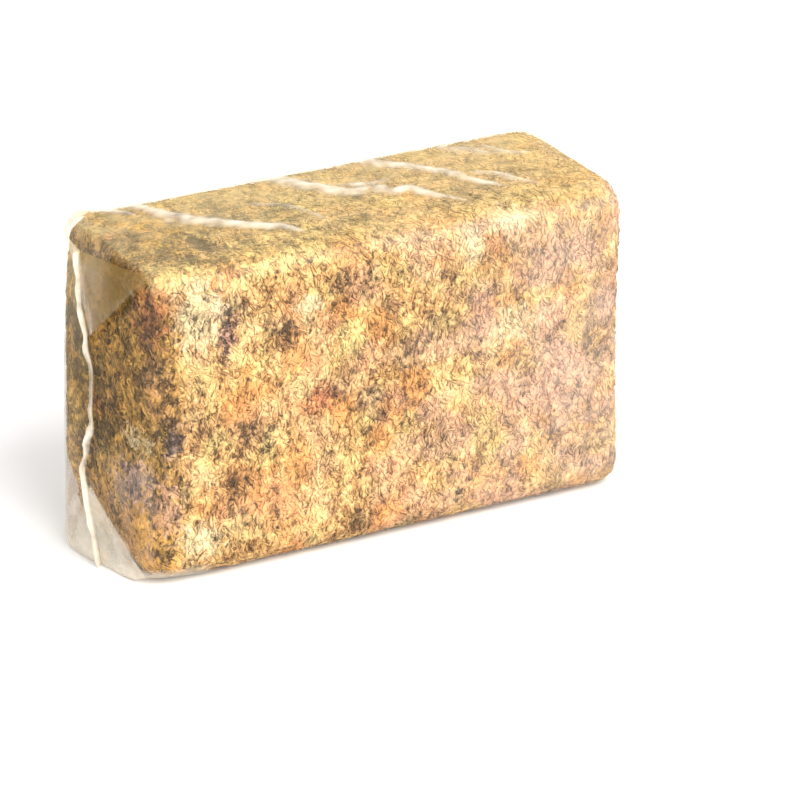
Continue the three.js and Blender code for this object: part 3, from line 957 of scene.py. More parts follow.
# %% The sides of the mass
SIDES = ["front", "rear", "left_end", "right_end", "top", "underside", "front_right"]
mass = points_of(moss_mass) - np.array([BLOCK_X, 0, 0])
to_sides = np.stack([
    mass[:, 1] + HALF_DEPTH,
    HALF_DEPTH - mass[:, 1],
    mass[:, 0] + HALF_LENGTH + 1 * MM,
    HALF_LENGTH - mass[:, 0],
    HEIGHT - mass[:, 2],
    mass[:, 2],
], axis=1)
side = to_sides.argmin(axis=1)
side[(side == SIDES.index("front")) & (mass[:, 0] > 0)] = SIDES.index("front_right")
store(moss_mass, "side", side)
print("vertices by side", dict(zip(SIDES, np.bincount(side))))

# %% [markdown]
# A strand of this moss carries short tapering branchlets with overlapping leaves. Pressed
# and dry they are flat scraps, a few millimetres wide. Each kind is modelled once: a small
# ring of vertices is extruded along a list of stations and widened or narrowed at each, as a
# maker pulls out a twig. Few faces are enough, because there are thousands of them.

# %% The sprigs
# How many sides the ring has, how flat it is, and its stations. Each station is how far
# along, half the width, how far aside and how high, in millimetres.
SPRIGS = {
    "broad_branchlet": (3, 0.4, [
        (0, 0.3, 0, 0), (2.4, 1.4, 0.3, 0.3), (5.2, 1.1, 0.5, 0.4), (8.0, 0.1, -0.3, 0.1),
    ]),
    "bent_branchlet": (3, 0.5, [
        (0, 0.25, 0, 0), (2.1, 0.95, 0.2, 0.4), (4.2, 0.85, 1.1, 0.5), (6.2, 0.08, 2.7, 0.1),
    ]),
    "slim_branchlet": (3, 0.6, [
        (0, 0.2, 0, 0), (2.8, 0.7, -0.3, 0.3), (5.8, 0.55, 0.1, 0.4), (9.0, 0.05, 1.2, 0),
    ]),
    "hooked_branchlet": (3, 0.6, [
        (0, 0.2, 0, 0), (1.8, 0.65, -0.2, 0.4), (3.6, 0.6, -1.0, 0.5), (4.6, 0.06, -2.8, 0.1),
    ]),
    "broad_scrap": (4, 0.45, [
        (0, 0.5, 0, 0), (1.4, 1.45, 0.2, 0.3), (3.0, 1.1, -0.1, 0.3), (4.6, 0.2, -0.4, 0),
    ]),
    "leaf_scrap": (3, 0.45, [(0, 0.4, 0, 0), (1.8, 1.25, 0.1, 0.3), (4.6, 0.08, 0.5, 0)]),
    "stem": (3, 0.8, [
        (0, 0.2, 0, 0), (3.2, 0.34, 0.5, 0.5), (6.6, 0.3, 0.1, 0.6), (9.8, 0.08, -0.5, 0.1),
    ]),
}
sprig_shelf = bpy.data.collections.new("sprig_shelf")
bpy.context.scene.collection.children.link(sprig_shelf)


def pulled_sprig(name, sides, flatness, stations):
    """One sprig, extruded from station to station along +X."""
    bpy.ops.object.select_all(action="DESELECT")
    bpy.ops.mesh.primitive_circle_add(
        vertices=sides, radius=1, fill_type="NGON", rotation=(0, math.pi / 2, 0)
    )
    sprig = bpy.context.object
    sprig.name = sprig.data.name = name
    bpy.ops.object.transform_apply(location=False, rotation=True, scale=False)
    edit_all()
    start = stations[0][1] * MM
    bpy.ops.transform.resize(value=(1, start, start * flatness), center_override=(0, 0, 0))
    for before, now in zip(stations, stations[1:]):
        step = [(now[i] - before[i]) * MM for i in (0, 2, 3)]
        bpy.ops.mesh.extrude_region_move(TRANSFORM_OT_translate={"value": step})
        grow = now[1] / before[1]
        place = [now[i] * MM for i in (0, 2, 3)]
        bpy.ops.transform.resize(value=(1, grow, grow), center_override=place)
    bpy.ops.mesh.select_all(action="SELECT")
    bpy.ops.mesh.normals_make_consistent(inside=False)
    edit_done()
    length = max(station[0] for station in stations) * MM
    store(sprig, "along", points_of(sprig)[:, 0] / length)
    put_points(sprig, points_of(sprig) - np.array([length / 2, 0, 0]))
    bpy.ops.object.shade_smooth()
    sprig_shelf.objects.link(sprig)
    bpy.context.scene.collection.objects.unlink(sprig)
    return sprig


for sprig_name, (sides, flatness, stations) in SPRIGS.items():
    sprig = pulled_sprig(sprig_name, sides, flatness, stations)
    print(sprig_name, "has", triangles(sprig), "triangles")

# %% [markdown]
# Geometry nodes and materials are both trees of nodes. One small helper adds a node to
# either kind, sets its options, and fills or connects its inputs by their names. Sums and
# products come up all the time, so they have helpers of their own.

# %% Helpers for nodes


def node(tree, kind, inputs=None, **options):
    """Adds a node, sets its options, then sets or links the inputs that are named."""
    made = tree.nodes.new(kind)
    for option, value in options.items():
        setattr(made, option, value)
    for name, value in (inputs or {}).items():
        if isinstance(name, int):
            socket = made.inputs[name]
        else:
            socket = next(s for s in made.inputs if s.name == name and s.enabled)
        if isinstance(value, bpy.types.NodeSocket):
            tree.links.new(value, socket)
        else:
            socket.default_value = value
    return made


def output(made, name=None):
    """The output of a node that is in use, or the one of that name."""
    return next(s for s in made.outputs if s.enabled and name in (None, s.name))


def worked_out(tree, operation, a, b=0):
    """The result of one Math node."""
    return output(node(tree, "ShaderNodeMath", {0: a, 1: b}, operation=operation))


def plus(tree, a, b):
    """The sum of two numbers."""
    return worked_out(tree, "ADD", a, b)


def times(tree, a, b):
    """The product of two numbers."""
    return worked_out(tree, "MULTIPLY", a, b)


def vector_math(tree, operation, inputs):
    """One Vector Math node."""
    return node(tree, "ShaderNodeVectorMath", inputs, operation=operation)


# %% [markdown]
# The sprigs are strewn by geometry nodes. A particle system could scatter them too, but here
# they are also laid, tinted and pressed flat, and one tree of nodes does all of it. First,
# points are set out on one side of the pressed mass with an even spacing and raised or sunk
# a little, so that the sprigs lie over and under each other.

# %% Points for the sprigs
DENSEST = 1e6
SUNK, RAISED = -0.6 * MM, 0.8 * MM


def random_value(tree, low, high, seed, kind="FLOAT"):
    """A random value for each point or sprig. Each use has its own seed."""
    return output(node(
        tree, "FunctionNodeRandomValue", {"Min": low, "Max": high, "Seed": seed}, data_type=kind
    ))


def strewn_points(tree, given):
    """Evenly spaced points on one side of the mass, and the surface's direction at each."""
    side = node(tree, "GeometryNodeInputNamedAttribute", {"Name": "side"}, data_type="FLOAT")
    chosen = node(
        tree, "FunctionNodeCompare", {"A": output(side), "B": given["Side"], "Epsilon": 0.5},
        data_type="FLOAT", operation="EQUAL",
    )
    strewn = node(tree, "GeometryNodeDistributePointsOnFaces", {
        "Mesh": given["Mass"],
        "Selection": output(chosen),
        "Distance Min": given["Spacing"],
        "Density Max": DENSEST,
        "Seed": given["Seed"],
    }, distribute_method="POISSON")
    normal = output(strewn, "Normal")
    lift = vector_math(tree, "SCALE", {0: normal, "Scale": random_value(tree, SUNK, RAISED, 1)})
    raised = node(tree, "GeometryNodeSetPosition", {
        "Geometry": output(strewn, "Points"), "Offset": output(lift),
    })
    return output(raised), normal


# %% [markdown]
# Each point gets a random sprig from the shelf, laid flat on the surface and turned mostly
# upright, as the strands run in the block, with a small tilt. Its tint and its place are
# stored on it for the material, and then the instances are made real mesh.

# %% Laying the sprigs
STRAND_LOW, STRAND_HIGH = (-0.7, -0.7, 0.1), (0.7, 0.7, 1.1)
TILT = (0.4, 0.12, 0)
SMALLEST_SPRIG, LARGEST_SPRIG = 0.4, 1.0


def laid_sprigs(tree, points, normal, here):
    """One sprig on every point, as real mesh."""
    flat = node(tree, "FunctionNodeAlignRotationToVector", {"Vector": normal}, axis="Z")
    strand_way = random_value(tree, STRAND_LOW, STRAND_HIGH, 2, "FLOAT_VECTOR")
    laid = node(tree, "FunctionNodeAlignRotationToVector", {
        "Rotation": output(flat), "Vector": strand_way,
    }, axis="X", pivot_axis="Z")
    tilt = node(tree, "FunctionNodeEulerToRotation", {
        0: random_value(tree, tuple(-part for part in TILT), TILT, 3, "FLOAT_VECTOR"),
    })
    turned = node(tree, "FunctionNodeRotateRotation", {
        "Rotation": output(laid), "Rotate By": output(tilt),
    }, rotation_space="LOCAL")
    shelf = node(tree, "GeometryNodeCollectionInfo", {
        "Collection": sprig_shelf, "Separate Children": True, "Reset Children": True,
    })
    placed = node(tree, "GeometryNodeInstanceOnPoints", {
        "Points": points,
        "Instance": output(shelf),
        "Pick Instance": True,
        "Instance Index": random_value(tree, 0, len(SPRIGS) - 1, 4, "INT"),
        "Rotation": output(turned),
        "Scale": random_value(tree, SMALLEST_SPRIG, LARGEST_SPRIG, 5),
    })
    tinted = node(tree, "GeometryNodeStoreNamedAttribute", {
        "Geometry": output(placed), "Name": "tint", "Value": random_value(tree, 0.0, 1.0, 6),
    }, data_type="FLOAT", domain="INSTANCE")
    rooted = node(tree, "GeometryNodeStoreNamedAttribute", {
        "Geometry": output(tinted), "Name": "place", "Value": here,
    }, data_type="FLOAT_VECTOR", domain="INSTANCE")
    return output(node(tree, "GeometryNodeRealizeInstances", {"Geometry": output(rooted)}))


# %% [markdown]
# The film presses the strewn sprigs flat. Every vertex that stands out through the press
# form, or through one of its three plates, is pushed back under it. The push fades softly
# with depth, so that sprigs stay in their order and don't melt into one plane.

# %% Pressing the sprigs
PRESS_SOFTNESS = 0.35 * MM


def height_over(tree, here, point, outwards):
    """How far each vertex stands out over a plane."""
    off = vector_math(tree, "SUBTRACT", {0: here, 1: point})
    return output(vector_math(tree, "DOT_PRODUCT", {0: output(off), 1: outwards}), "Value")


def pushed_under(tree, sprigs, height, outwards):
    """Pushes what stands out back below height 0, and leaves what lies deep alone."""
    away = worked_out(tree, "ABSOLUTE", height)
    steep = worked_out(tree, "POWER", math.e, worked_out(tree, "DIVIDE", away, -PRESS_SOFTNESS))
    soft = worked_out(tree, "LOGARITHM", plus(tree, steep, 1), math.e)
    standing_out = worked_out(tree, "MAXIMUM", height, 0)
    inwards = plus(tree, times(tree, soft, PRESS_SOFTNESS), standing_out)
    push = vector_math(tree, "SCALE", {0: outwards, "Scale": times(tree, inwards, -1)})
    return output(node(
        tree, "GeometryNodeSetPosition", {"Geometry": sprigs, "Offset": output(push)}
    ))


def pressed_sprigs(tree, sprigs, here):
    """The sprigs pressed under the press form and under its plates."""
    form = output(node(tree, "GeometryNodeObjectInfo", {"Object": press_form}), "Geometry")

    def on_form(value):
        return output(node(
            tree, "GeometryNodeSampleNearestSurface", {"Mesh": form, "Value": value},
            data_type="FLOAT_VECTOR",
        ))

    outwards = on_form(output(node(tree, "GeometryNodeInputNormal")))
    height = height_over(tree, here, on_form(here), outwards)
    sprigs = pushed_under(tree, sprigs, height, outwards)
    for point, normal in PLATES:
        height = height_over(tree, here, tuple(point), tuple(normal))
        sprigs = pushed_under(tree, sprigs, height, tuple(normal))
    return sprigs


# %% [markdown]
# The three steps are joined in one tree. It is put on a copy of the mass for each side in
# turn, and applied, so a plain mesh of sprigs is left. The sides that show are strewn more
# closely than the others.

# %% Strewing every side
SPACING = {
    "front": 1.6 * MM, "rear": 2.1 * MM, "left_end": 1.6 * MM, "right_end": 2.1 * MM,
    "top": 1.75 * MM, "underside": 2.4 * MM, "front_right": 1.6 * MM,
}
FIRST_SEED = 11


def strewing_tree():
    """Geometry nodes that strew sprigs on one side of the mass and press them."""
    tree = bpy.data.node_groups.new("strew_sprigs", "GeometryNodeTree")
    face = tree.interface
    face.new_socket("Mass", in_out="INPUT", socket_type="NodeSocketGeometry")
    for label, kind in (("Side", "Float"), ("Spacing", "Float"), ("Seed", "Int")):
        face.new_socket(label, in_out="INPUT", socket_type="NodeSocket" + kind)
    face.new_socket("Sprigs", in_out="OUTPUT", socket_type="NodeSocketGeometry")
    points, normal = strewn_points(tree, node(tree, "NodeGroupInput").outputs)
    here = output(node(tree, "GeometryNodeInputPosition"))
    sprigs = pressed_sprigs(tree, laid_sprigs(tree, points, normal, here), here)
    node(tree, "NodeGroupOutput", {"Sprigs": sprigs})
    return tree


strew = strewing_tree()


def strewn_side(number, name):
    """The sprigs of one side, as one mesh."""
    only(moss_mass)
    bpy.ops.object.duplicate()
    sprigs = bpy.context.object
    sprigs.name = sprigs.data.name = "moss_sprigs_" + name
    work = sprigs.modifiers.new("strew", "NODES")
    work.node_group = strew
    settings = {"Side": float(number), "Spacing": SPACING[name], "Seed": FIRST_SEED + number}
    for socket in strew.interface.items_tree:
        if socket.name in settings:
            work[socket.identifier] = settings[socket.name]
    finish_modifiers(sprigs)
    print(sprigs.name, "has", triangles(sprigs), "triangles")
    return sprigs


moss_sprigs = [strewn_side(number, name) for number, name in enumerate(SIDES)]
print("sprigs in all:", sum(triangles(piece) for piece in moss_sprigs), "triangles")

# %% [markdown]
# Dried moss runs from dark brown through rust, orange and straw to nearly white cream. One
# colour ramp holds this run. Besides it, single patches stand out on the block, each with
# its own hue, and lighter or darker than what lies round it. The darker patches in the
# hollows of the mass, and one low at the near left corner, are painted shade.

# %% The colours of the moss
MOSS_RUN = [
    (0.00, (0.071, 0.030, 0.010)),
    (0.14, (0.175, 0.080, 0.025)),
    (0.28, (0.365, 0.190, 0.062)),
    (0.42, (0.555, 0.325, 0.118)),
    (0.56, (0.705, 0.455, 0.182)),
    (0.70, (0.800, 0.570, 0.252)),
    (0.85, (0.870, 0.665, 0.340)),
    (1.00, (0.910, 0.770, 0.490)),
]
RUST = (0.50, 0.17, 0.07)
ORANGE = (0.60, 0.27, 0.08)
PINK = (0.62, 0.36, 0.24)
PALE = (0.82, 0.67, 0.40)
YELLOW = (0.70, 0.53, 0.20)
BRASS = (0.62, 0.34, 0.05)
PURPLE = (0.40, 0.21, 0.18)
MAUVE = (0.50, 0.33, 0.30)
BROWN = (0.45, 0.24, 0.10)
# Each patch: its place and its size in millimetres, measured from the block's middle and its
# foot, then its hue and how far it is lighter or darker.
PATCHES = [
    # Painted shade: the darker patches at -103, -68, -1, -46 and -91 lie in hollows of the mass and
    # darken them.
    ((-103, -60, 145), (4.5, 20, 12), PURPLE, -0.42),
    ((-107, -60, 159), (6, 20, 5), PINK, -0.05),
    ((-68, -60, 135), (7, 20, 7), BROWN, -0.2),
    ((-1, -60, 140), (7, 20, 6), BROWN, -0.2),
    ((-34, -60, 160), (7, 20, 4), BROWN, -0.2),
    ((-46, -60, 96), (10, 20, 7), RUST, -0.16),
    ((-91, -60, 86), (8, 20, 6), BROWN, -0.2),
    ((-7, -60, 131), (9, 20, 13), ORANGE, -0.06),
    ((64, -60, 169), (7, 20, 9), ORANGE, -0.1),
    ((-98, -60, 58), (13, 20, 9), ORANGE, -0.1),
    ((-121, -60, 26), (13, 20, 10), PALE, 0.16),
    ((-120, -60, 160), (16, 20, 18), PALE, 0.1),
    ((-26, -60, 130), (8, 20, 12), YELLOW, 0.14),
    ((-53, -60, 152), (9, 20, 6), PALE, 0.12),
    ((75, -60, 116), (14, 20, 11), PALE, 0.14),
    ((74, -60, 178), (14, 20, 7), PALE, 0.15),
    ((49, -60, 168), (8, 20, 9), PALE, 0.12),
    ((110, -60, 70), (24, 20, 24), PINK, 0.0),
    ((-154, -36, 57), (12, 16, 14), MAUVE, -0.02),
    ((-137, -58, 86), (5, 12, 10), MAUVE, -0.15),
    ((-141, -57, 48), (8, 14, 19), PINK, 0.03),
    # Painted shade low on the near left corner.
    ((-147, -57, 19), (9, 14, 5), BROWN, -0.35),
    ((-150, -2, 94), (14, 10, 9), ORANGE, 0.05),
    ((-149, -52, 160), (11, 14, 20), RUST, -0.02),
    # Lightens the painted shade of the left end where it rounds onto the front.
    ((-146, -54, 118), (9, 12, 26), BROWN, 0.08),
    ((-153, -40, 84), (9, 13, 9), PALE, 0.24),
    ((-158, -22, 34), (9, 18, 17), BROWN, 0.0),
    ((-118, 10, 186), (30, 36, 8), BRASS, 0.03),
    ((-137, -50, 186), (16, 12, 9), YELLOW, 0.12),
    # Painted shade in the hollow on the top.
    ((-101, -20, 186), (4, 16, 10), BROWN, -0.35),
    ((-136, 7, 186), (14, 14, 10), BROWN, -0.12),
    ((-25, 7, 186), (16, 14, 10), YELLOW, 0.04),
]
print(len(MOSS_RUN), "stops in the run of colours and", len(PATCHES), "patches")

# %% [markdown]
# Both of the moss's materials, and the film's, are built from the same few steps: mixing two
# colours, soft noise, carrying a number from one range to another, and reading a number that
# was stored on the mesh.

# %% Helpers for materials


def mixed(tree, share, below, above, blend="MIX"):
    """A colour mixed from two others. The blend COLOR takes the hue and keeps the lightness."""
    mix = node(
        tree, "ShaderNodeMix", {"Factor": share, "A": below, "B": above},
        data_type="RGBA", blend_type=blend,
    )
    return output(mix)


def soft_noise(tree, place, scale, detail=2, stretch=(1, 1, 1)):
    """Noise between about 0.3 and 0.7, with the given number of waves to a metre."""
    mapped = node(tree, "ShaderNodeMapping", {"Vector": place, "Scale": stretch})
    noise = node(
        tree, "ShaderNodeTexNoise", {"Vector": output(mapped), "Scale": scale, "Detail": detail}
    )
    return output(noise, "Fac")


def ranged(tree, value, low, high, to_low=0, to_high=1, smooth=False):
    """Carries a number from one range to another, and no further."""
    kind = "SMOOTHSTEP" if smooth else "LINEAR"
    return output(node(tree, "ShaderNodeMapRange", {
        "Value": value, "From Min": low, "From Max": high, "To Min": to_low, "To Max": to_high,
    }, interpolation_type=kind))


def noted(tree, name, socket="Fac"):
    """What was stored on the mesh under that name."""
    return output(node(tree, "ShaderNodeAttribute", attribute_name=name), socket)


def empty_material(name):
    """A material whose node tree is still empty."""
    material = bpy.data.materials.new(name)
    material.use_nodes = True
    material.node_tree.nodes.clear()
    return material


def dress(piece, material):
    """Gives a piece one material and no other."""
    piece.data.materials.clear()
    piece.data.materials.append(material)


# %% [markdown]
# Where a fleck of moss falls on the run of colours is one number, its shade. Each sprig has
# a tint of its own, and soft noise shifts it, since strands of one colour lie together. The
# place of a sprig is kept on its vertices, so a whole sprig falls in one patch and reads as
# one fleck. The shade also changes over the block: the left end gets painted shade, which
# darkens it with its height, the top is darker at its left, and to the right all of it is a
# little darker and less uneven. The pores are painted shade too: small dark specks for the
# gaps between the strands.

# %% How light the moss is
OWN_TINT = 0.3
# Each kind of unevenness: whether it is one for a whole sprig or runs over the surface, how
# many waves it has to a metre, how fine its detail is, how it is stretched, what part of the
# noise's range is used, and how far it shifts the shade down and up.
UNEVENNESS = {
    "swell": ("sprig", 30, 3, (1, 1, 1), (0.3, 0.7), (-0.15, 0.15)),
    "streak": ("sprig", 130, 2, (1, 1, 0.4), (0.3, 0.7), (-0.18, 0.18)),
    "grain": ("surface", 800, 2, (1, 1, 0.4), (0.3, 0.7), (-0.1, 0.1)),
    # Painted shade: dark specks for the small gaps between the strands.
    "painted_pore_shade": ("surface", 420, 3, (1, 1, 0.7), (0.36, 0.46), (-0.3, 0)),
    "clumps": ("surface", 160, 2, (1, 1, 1), (0.35, 0.65), (-0.14, 0.14)),
}


def block_shares(tree, place):
    """How far to the right a place lies, and how far it is on the left end and on the top."""
    split = node(tree, "ShaderNodeSeparateXYZ", {0: place})
    x, height = output(split, "X"), output(split, "Z")
    to_right = ranged(tree, x, BLOCK_X - 90 * MM, BLOCK_X + 130 * MM)
    worn_in = ranged(tree, height, 150 * MM, 183 * MM, 8 * MM, -6 * MM, True)
    on_left = ranged(
        tree, worked_out(tree, "SUBTRACT", x, worn_in),
        BLOCK_X - 149 * MM, BLOCK_X - 134 * MM, 1, 0, True,
    )
    on_top = ranged(tree, height, HEIGHT - 5 * MM, HEIGHT - 2 * MM, 0, 1)
    return to_right, on_left, on_top, height


def uneven_shade(tree, place, object_place, tint):
    """All kinds of unevenness added up, and the grain alone, which also varies the gloss."""
    uneven = times(tree, worked_out(tree, "SUBTRACT", tint, 0.5), OWN_TINT)
    for name, (follows, scale, detail, stretch, used, shift) in UNEVENNESS.items():
        where = place if follows == "sprig" else object_place
        kind = ranged(tree, soft_noise(tree, where, scale, detail, stretch), *used, *shift)
        uneven = plus(tree, kind, uneven)
        if name == "grain":
            grain = kind
    return uneven, grain


def moss_shade(tree, shares, uneven, base, right_shift):
    """The place on the run of colours, before the patches."""
    to_right, on_left, on_top, height = shares
    contrast = ranged(tree, to_right, 0, 1, 0.86, 0.62)
    # Painted shade on the left end, darker with its height.
    left_end_painted_shade = ranged(tree, height, 25 * MM, 90 * MM, 0.02, -0.26, True)
    top_shade = ranged(tree, to_right, 0, 1, -0.12, 0.06)
    shade = plus(tree, times(tree, uneven, contrast), base)
    shade = plus(tree, times(tree, on_left, left_end_painted_shade), shade)
    shade = plus(tree, times(tree, on_top, top_shade), shade)
    return plus(tree, times(tree, to_right, right_shift), shade)


# %% [markdown]
# A patch is a soft ball of the given size round its place, with a ragged edge. Its share is
# 1 inside and 0 outside. It shifts the shade first, and the hue later by the same share.

# %% The patches
PATCH_HUE = 0.75
PATCH_INSIDE, PATCH_OUTSIDE = 0.6, 1.3


def patch_shares(tree, place):
    """For each patch, how far a place lies in it."""
    ragged = ranged(tree, soft_noise(tree, place, 210, 2), 0.35, 0.65, -0.45, 0.45)
    shares = []
    for (x, y, z), size, _, _ in PATCHES:
        scale = [1 / (axis * MM) for axis in size]
        centre = [(x * MM + BLOCK_X) * scale[0], y * MM * scale[1], z * MM * scale[2]]
        moved = node(tree, "ShaderNodeMapping", {
            "Vector": place, "Location": [-part for part in centre], "Scale": scale,
        })
        reach = output(vector_math(tree, "LENGTH", {0: output(moved)}), "Value")
        edge = plus(tree, reach, ragged)
        shares.append(ranged(tree, edge, PATCH_INSIDE, PATCH_OUTSIDE, 1, 0))
    return shares


# %% [markdown]
# The ramp turns the shade into a colour. Its hue is then drawn to yellow, orange and pink in
# wide soft clouds, to brass on the left end and to yellow on the top, and to each patch's
# own hue. The blend COLOR changes the hue alone, so the light and dark flecks stay.

# %% The hues of the moss
LEFT_END_BRASS = 0.72
TOP_YELLOW = 0.55


def run_of_colours(tree, shade):
    """The colour ramp from dark brown to cream."""
    ramp = node(tree, "ShaderNodeValToRGB", {"Fac": shade})
    stops = ramp.color_ramp.elements
    while len(stops) < len(MOSS_RUN):
        stops.new(0.5)
    for stop, (position, colour) in zip(stops, MOSS_RUN):
        stop.position = position
        stop.color = (*colour, 1)
    return output(ramp, "Color")


def moss_hue(tree, colour, place, shares, in_patches):
    """Draws the colour's hue to the hues of its clouds, its side and its patches."""
    to_right, on_left, on_top, _ = shares
    yellow = ranged(tree, soft_noise(tree, place, 52, 3), 0.46, 0.62, 0, 0.75)
    orange = ranged(tree, soft_noise(tree, place, 44, 3, (1, 1.3, 0.8)), 0.51, 0.61, 0, 0.85)
    pink = ranged(tree, soft_noise(tree, place, 37, 3, (0.9, 1, 1)), 0.44, 0.58, 0, 0.9)
    drawn = [
        (times(tree, yellow, ranged(tree, to_right, 0.2, 1, 1, 0.35)), YELLOW),
        (orange, ORANGE),
        (times(tree, pink, ranged(tree, to_right, 0.1, 1, 0.25, 1)), PINK),
        (times(tree, on_left, LEFT_END_BRASS), BRASS),
        (times(tree, on_top, TOP_YELLOW), YELLOW),
    ]
    for share, (_, _, hue, _) in zip(in_patches, PATCHES):
        drawn.append((times(tree, share, PATCH_HUE), hue))
    for share, hue in drawn:
        colour = mixed(tree, share, colour, (*hue, 1), "COLOR")
    return colour


# %% [markdown]
# Dry moss is matt, with a little relief too fine to model: the leaves that overlap along a
# branchlet, and grain. A bump gives both. The sprigs and the mass under them share all of
# this, except that a sprig brings its own place and tint, and the mass takes both from small
# cells of noise.

# %% The moss materials
CELLS_TO_A_METRE = 420
TIERS = 58
BUMP_STRENGTH, BUMP_HEIGHT = 0.35, 0.5 * MM


def moss_material(name, strewn):
    """Dry matt moss. On strewn sprigs each has its own tint, on the mass a fleck of noise."""
    material = empty_material(name)
    tree = material.node_tree
    object_place = output(node(tree, "ShaderNodeTexCoord"), "Object")
    if strewn:
        place, tint = noted(tree, "place", "Vector"), noted(tree, "tint")
        base, right_shift = 0.465, -0.08
    else:
        cells = node(
            tree, "ShaderNodeTexVoronoi", {"Vector": object_place, "Scale": CELLS_TO_A_METRE}
        )
        place = output(cells, "Position")
        tint = output(node(tree, "ShaderNodeSeparateColor", {"Color": output(cells, "Color")}))
        base, right_shift = 0.48, -0.05

    shares = block_shares(tree, place)
    uneven, grain = uneven_shade(tree, place, object_place, tint)
    shade = moss_shade(tree, shares, uneven, base, right_shift)
    in_patches = patch_shares(tree, place)
    for share, (_, _, _, lighter) in zip(in_patches, PATCHES):
        shade = plus(tree, times(tree, share, lighter), shade)
    colour = moss_hue(tree, run_of_colours(tree, shade), place, shares, in_patches)

    relief = soft_noise(tree, object_place, 1700, 3)
    if strewn:
        tiers = worked_out(tree, "SINE", times(tree, noted(tree, "along"), TIERS))
        relief = plus(tree, times(tree, tiers, 0.2), relief)
    bump = node(tree, "ShaderNodeBump", {
        "Strength": BUMP_STRENGTH, "Distance": BUMP_HEIGHT, "Height": relief,
    })
    surface = node(tree, "ShaderNodeBsdfPrincipled", {
        "Base Color": colour,
        "Roughness": ranged(tree, grain, -0.16, 0.16, 0.75, 0.95),
        "Specular IOR Level": 0.25,
        "Normal": output(bump),
    })
    node(tree, "ShaderNodeOutputMaterial", {"Surface": output(surface)})
    return material


sprig_material = moss_material("dry_moss_sprigs", True)
mass_material = moss_material("dry_moss_mass", False)
for piece in moss_sprigs:
    dress(piece, sprig_material)
dress(moss_mass, mass_material)
print("moss colours on", len(moss_sprigs) + 1, "pieces")

# %% [markdown]
# The film is clear, thin and glossy. It has no thickness to bend light through, so a clear
# surface with a reflection is truer than solid plastic. Milky places mix in a white that
# lets part of the light through. Some of this white is painted sheen and highlight, and in
# the upper near fold it is a dark brown that is partly painted shade. Fine crinkles break
# the reflections up.

# %% The clear film
MILK_WHITE = (0.87, 0.80, 0.69, 1)
MILK_GOLDEN = (0.84, 0.66, 0.34, 1)
MILK_SHADED_BROWN = (0.26, 0.15, 0.036, 1)
GLOSS_CLEAR = (1, 1, 0.93, 1)
GLOSS_WARM = (0.5, 0.42, 0.25, 1)
LIGHT_LET_THROUGH = 0.22
GLOSS_SHARE = 0.25


def film_material():
    """Clear film, hazy and with painted sheen where the mesh says so."""
    material = empty_material("clear_soft_film")
    tree = material.node_tree
    place = output(node(tree, "ShaderNodeTexCoord"), "Object")
    crinkles = soft_noise(tree, place, 90, 4, (1, 1, 0.6))
    fine = soft_noise(tree, place, 420, 2)
    bump = output(node(tree, "ShaderNodeBump", {
        "Strength": 0.5, "Distance": 1.2 * MM,
        "Height": plus(tree, crinkles, times(tree, fine, 0.15)),
    }))
    cloud = ranged(tree, soft_noise(tree, place, 75, 4), 0.3, 0.7, 0.5, 1.5)
    cover = times(tree, noted(tree, "haze_and_sheen"), cloud)
    clear = output(node(tree, "ShaderNodeBsdfTransparent"))
    shaded_brown = noted(tree, "shaded_brown")
    milk = mixed(tree, noted(tree, "golden"), MILK_WHITE, MILK_GOLDEN)
    # The upper near fold's dark brown is partly painted shade.
    milk = mixed(tree, shaded_brown, milk, MILK_SHADED_BROWN)
    white = node(tree, "ShaderNodeBsdfDiffuse", {"Color": milk, "Normal": bump})
    shine_through = node(tree, "ShaderNodeBsdfTranslucent", {"Color": milk, "Normal": bump})
    haze_and_sheen_bsdf = node(tree, "ShaderNodeMixShader", {
        0: LIGHT_LET_THROUGH, 1: output(white), 2: output(shine_through),
    })
    body = node(tree, "ShaderNodeMixShader", {0: cover, 1: clear, 2: output(haze_and_sheen_bsdf)})
    gloss = node(tree, "ShaderNodeBsdfGlossy", {
        "Color": mixed(tree, shaded_brown, GLOSS_CLEAR, GLOSS_WARM), "Roughness": 0.24, "Normal": bump,
    })
    fresnel = output(node(tree, "ShaderNodeFresnel", {"IOR": 1.4, "Normal": bump}))
    film = node(tree, "ShaderNodeMixShader", {
        0: times(tree, fresnel, GLOSS_SHARE), 1: output(body), 2: output(gloss),
    })
    node(tree, "ShaderNodeOutputMaterial", {"Surface": output(film)})
    return material


dress(film_bag, film_material())
print("film material on", film_bag.name)

# %% [markdown]
# The light is plain and soft: one wide lamp at the upper right of the camera gives the front
# and the top their brightness and leaves the left end in half shade, and a pale surround
# fills the rest. The floor is plain and nearly white, and lies just under the block.

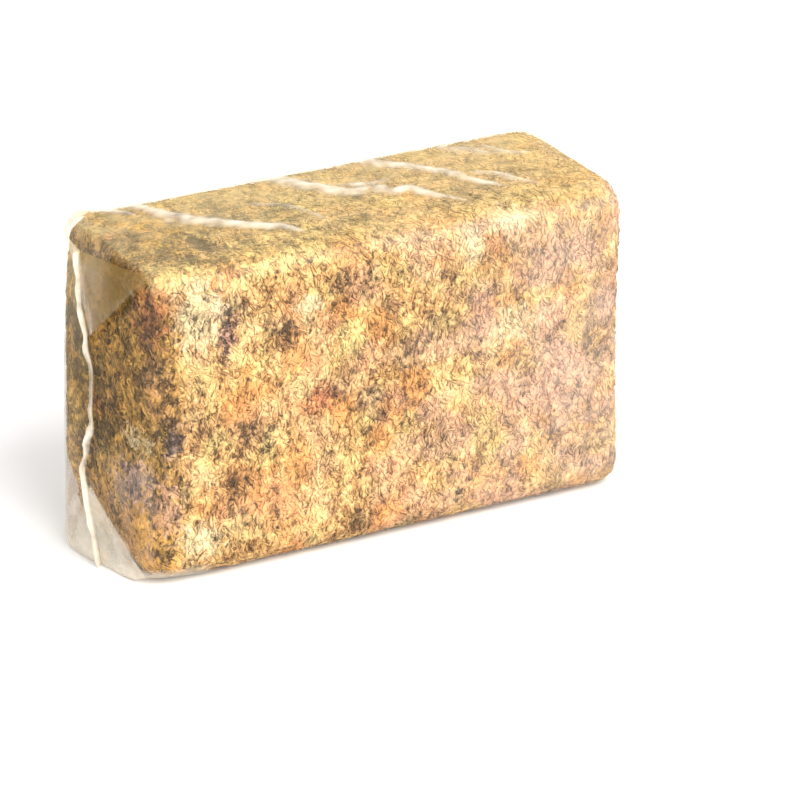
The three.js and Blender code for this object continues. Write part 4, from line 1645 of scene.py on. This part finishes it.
# %% The floor, the surround and the lamp
FLOOR_SIZE = 16
FLOOR_DROP = 0.2 * MM
FLOOR_COLOUR = (0.85, 0.85, 0.85, 1)
FLOOR_ROUGHNESS = 0.9
SURROUND_COLOUR = (1, 1, 1, 1)
SURROUND_STRENGTH = 1.05
LAMP_WAY = Vector((0.2, -0.76, 0.62)).normalized()
LAMP_WIDTH = math.radians(50)
LAMP_STRENGTH = 4.4
LAMP_COLOUR = (1, 0.985, 0.95)

bpy.ops.mesh.primitive_plane_add(size=FLOOR_SIZE, location=(0, 0, -FLOOR_DROP))
floor = bpy.context.object
floor.name = floor.data.name = "floor"
floor_material = bpy.data.materials.new("pale_floor")
floor_material.use_nodes = True
floor_shader = floor_material.node_tree.nodes["Principled BSDF"]
floor_shader.inputs["Base Color"].default_value = FLOOR_COLOUR
floor_shader.inputs["Roughness"].default_value = FLOOR_ROUGHNESS
floor.data.materials.append(floor_material)

surround = bpy.data.worlds.new("pale_surround")
surround.use_nodes = True
background = surround.node_tree.nodes["Background"]
background.inputs["Color"].default_value = SURROUND_COLOUR
background.inputs["Strength"].default_value = SURROUND_STRENGTH
bpy.context.scene.world = surround

bpy.ops.object.light_add(type="SUN", location=LOOKED_AT + LAMP_WAY)
lamp = bpy.context.object
lamp.data.angle = LAMP_WIDTH
lamp.data.energy = LAMP_STRENGTH
lamp.data.color = LAMP_COLOUR
lamp.rotation_mode = "QUATERNION"
lamp.rotation_quaternion = LAMP_WAY.to_track_quat("Z", "Y")
bpy.context.scene.view_settings.view_transform = "Standard"
print("one lamp of strength", LAMP_STRENGTH, "and a surround of", SURROUND_STRENGTH)

# %% [markdown]
# The press form and the sprigs' patterns were only tools, so they are taken away. What is
# left rides on the frame's one body, and the frame's own bag and moss solids are hidden.

# %% Handing the pieces to the frame
bpy.data.objects.remove(press_form)
for pattern in list(sprig_shelf.objects):
    bpy.data.objects.remove(pattern)
bpy.data.collections.remove(sprig_shelf)

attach(film_bag, "root")
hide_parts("film_bag")
for piece in [moss_mass] + moss_sprigs:
    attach(piece, "root")
    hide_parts("moss_block")
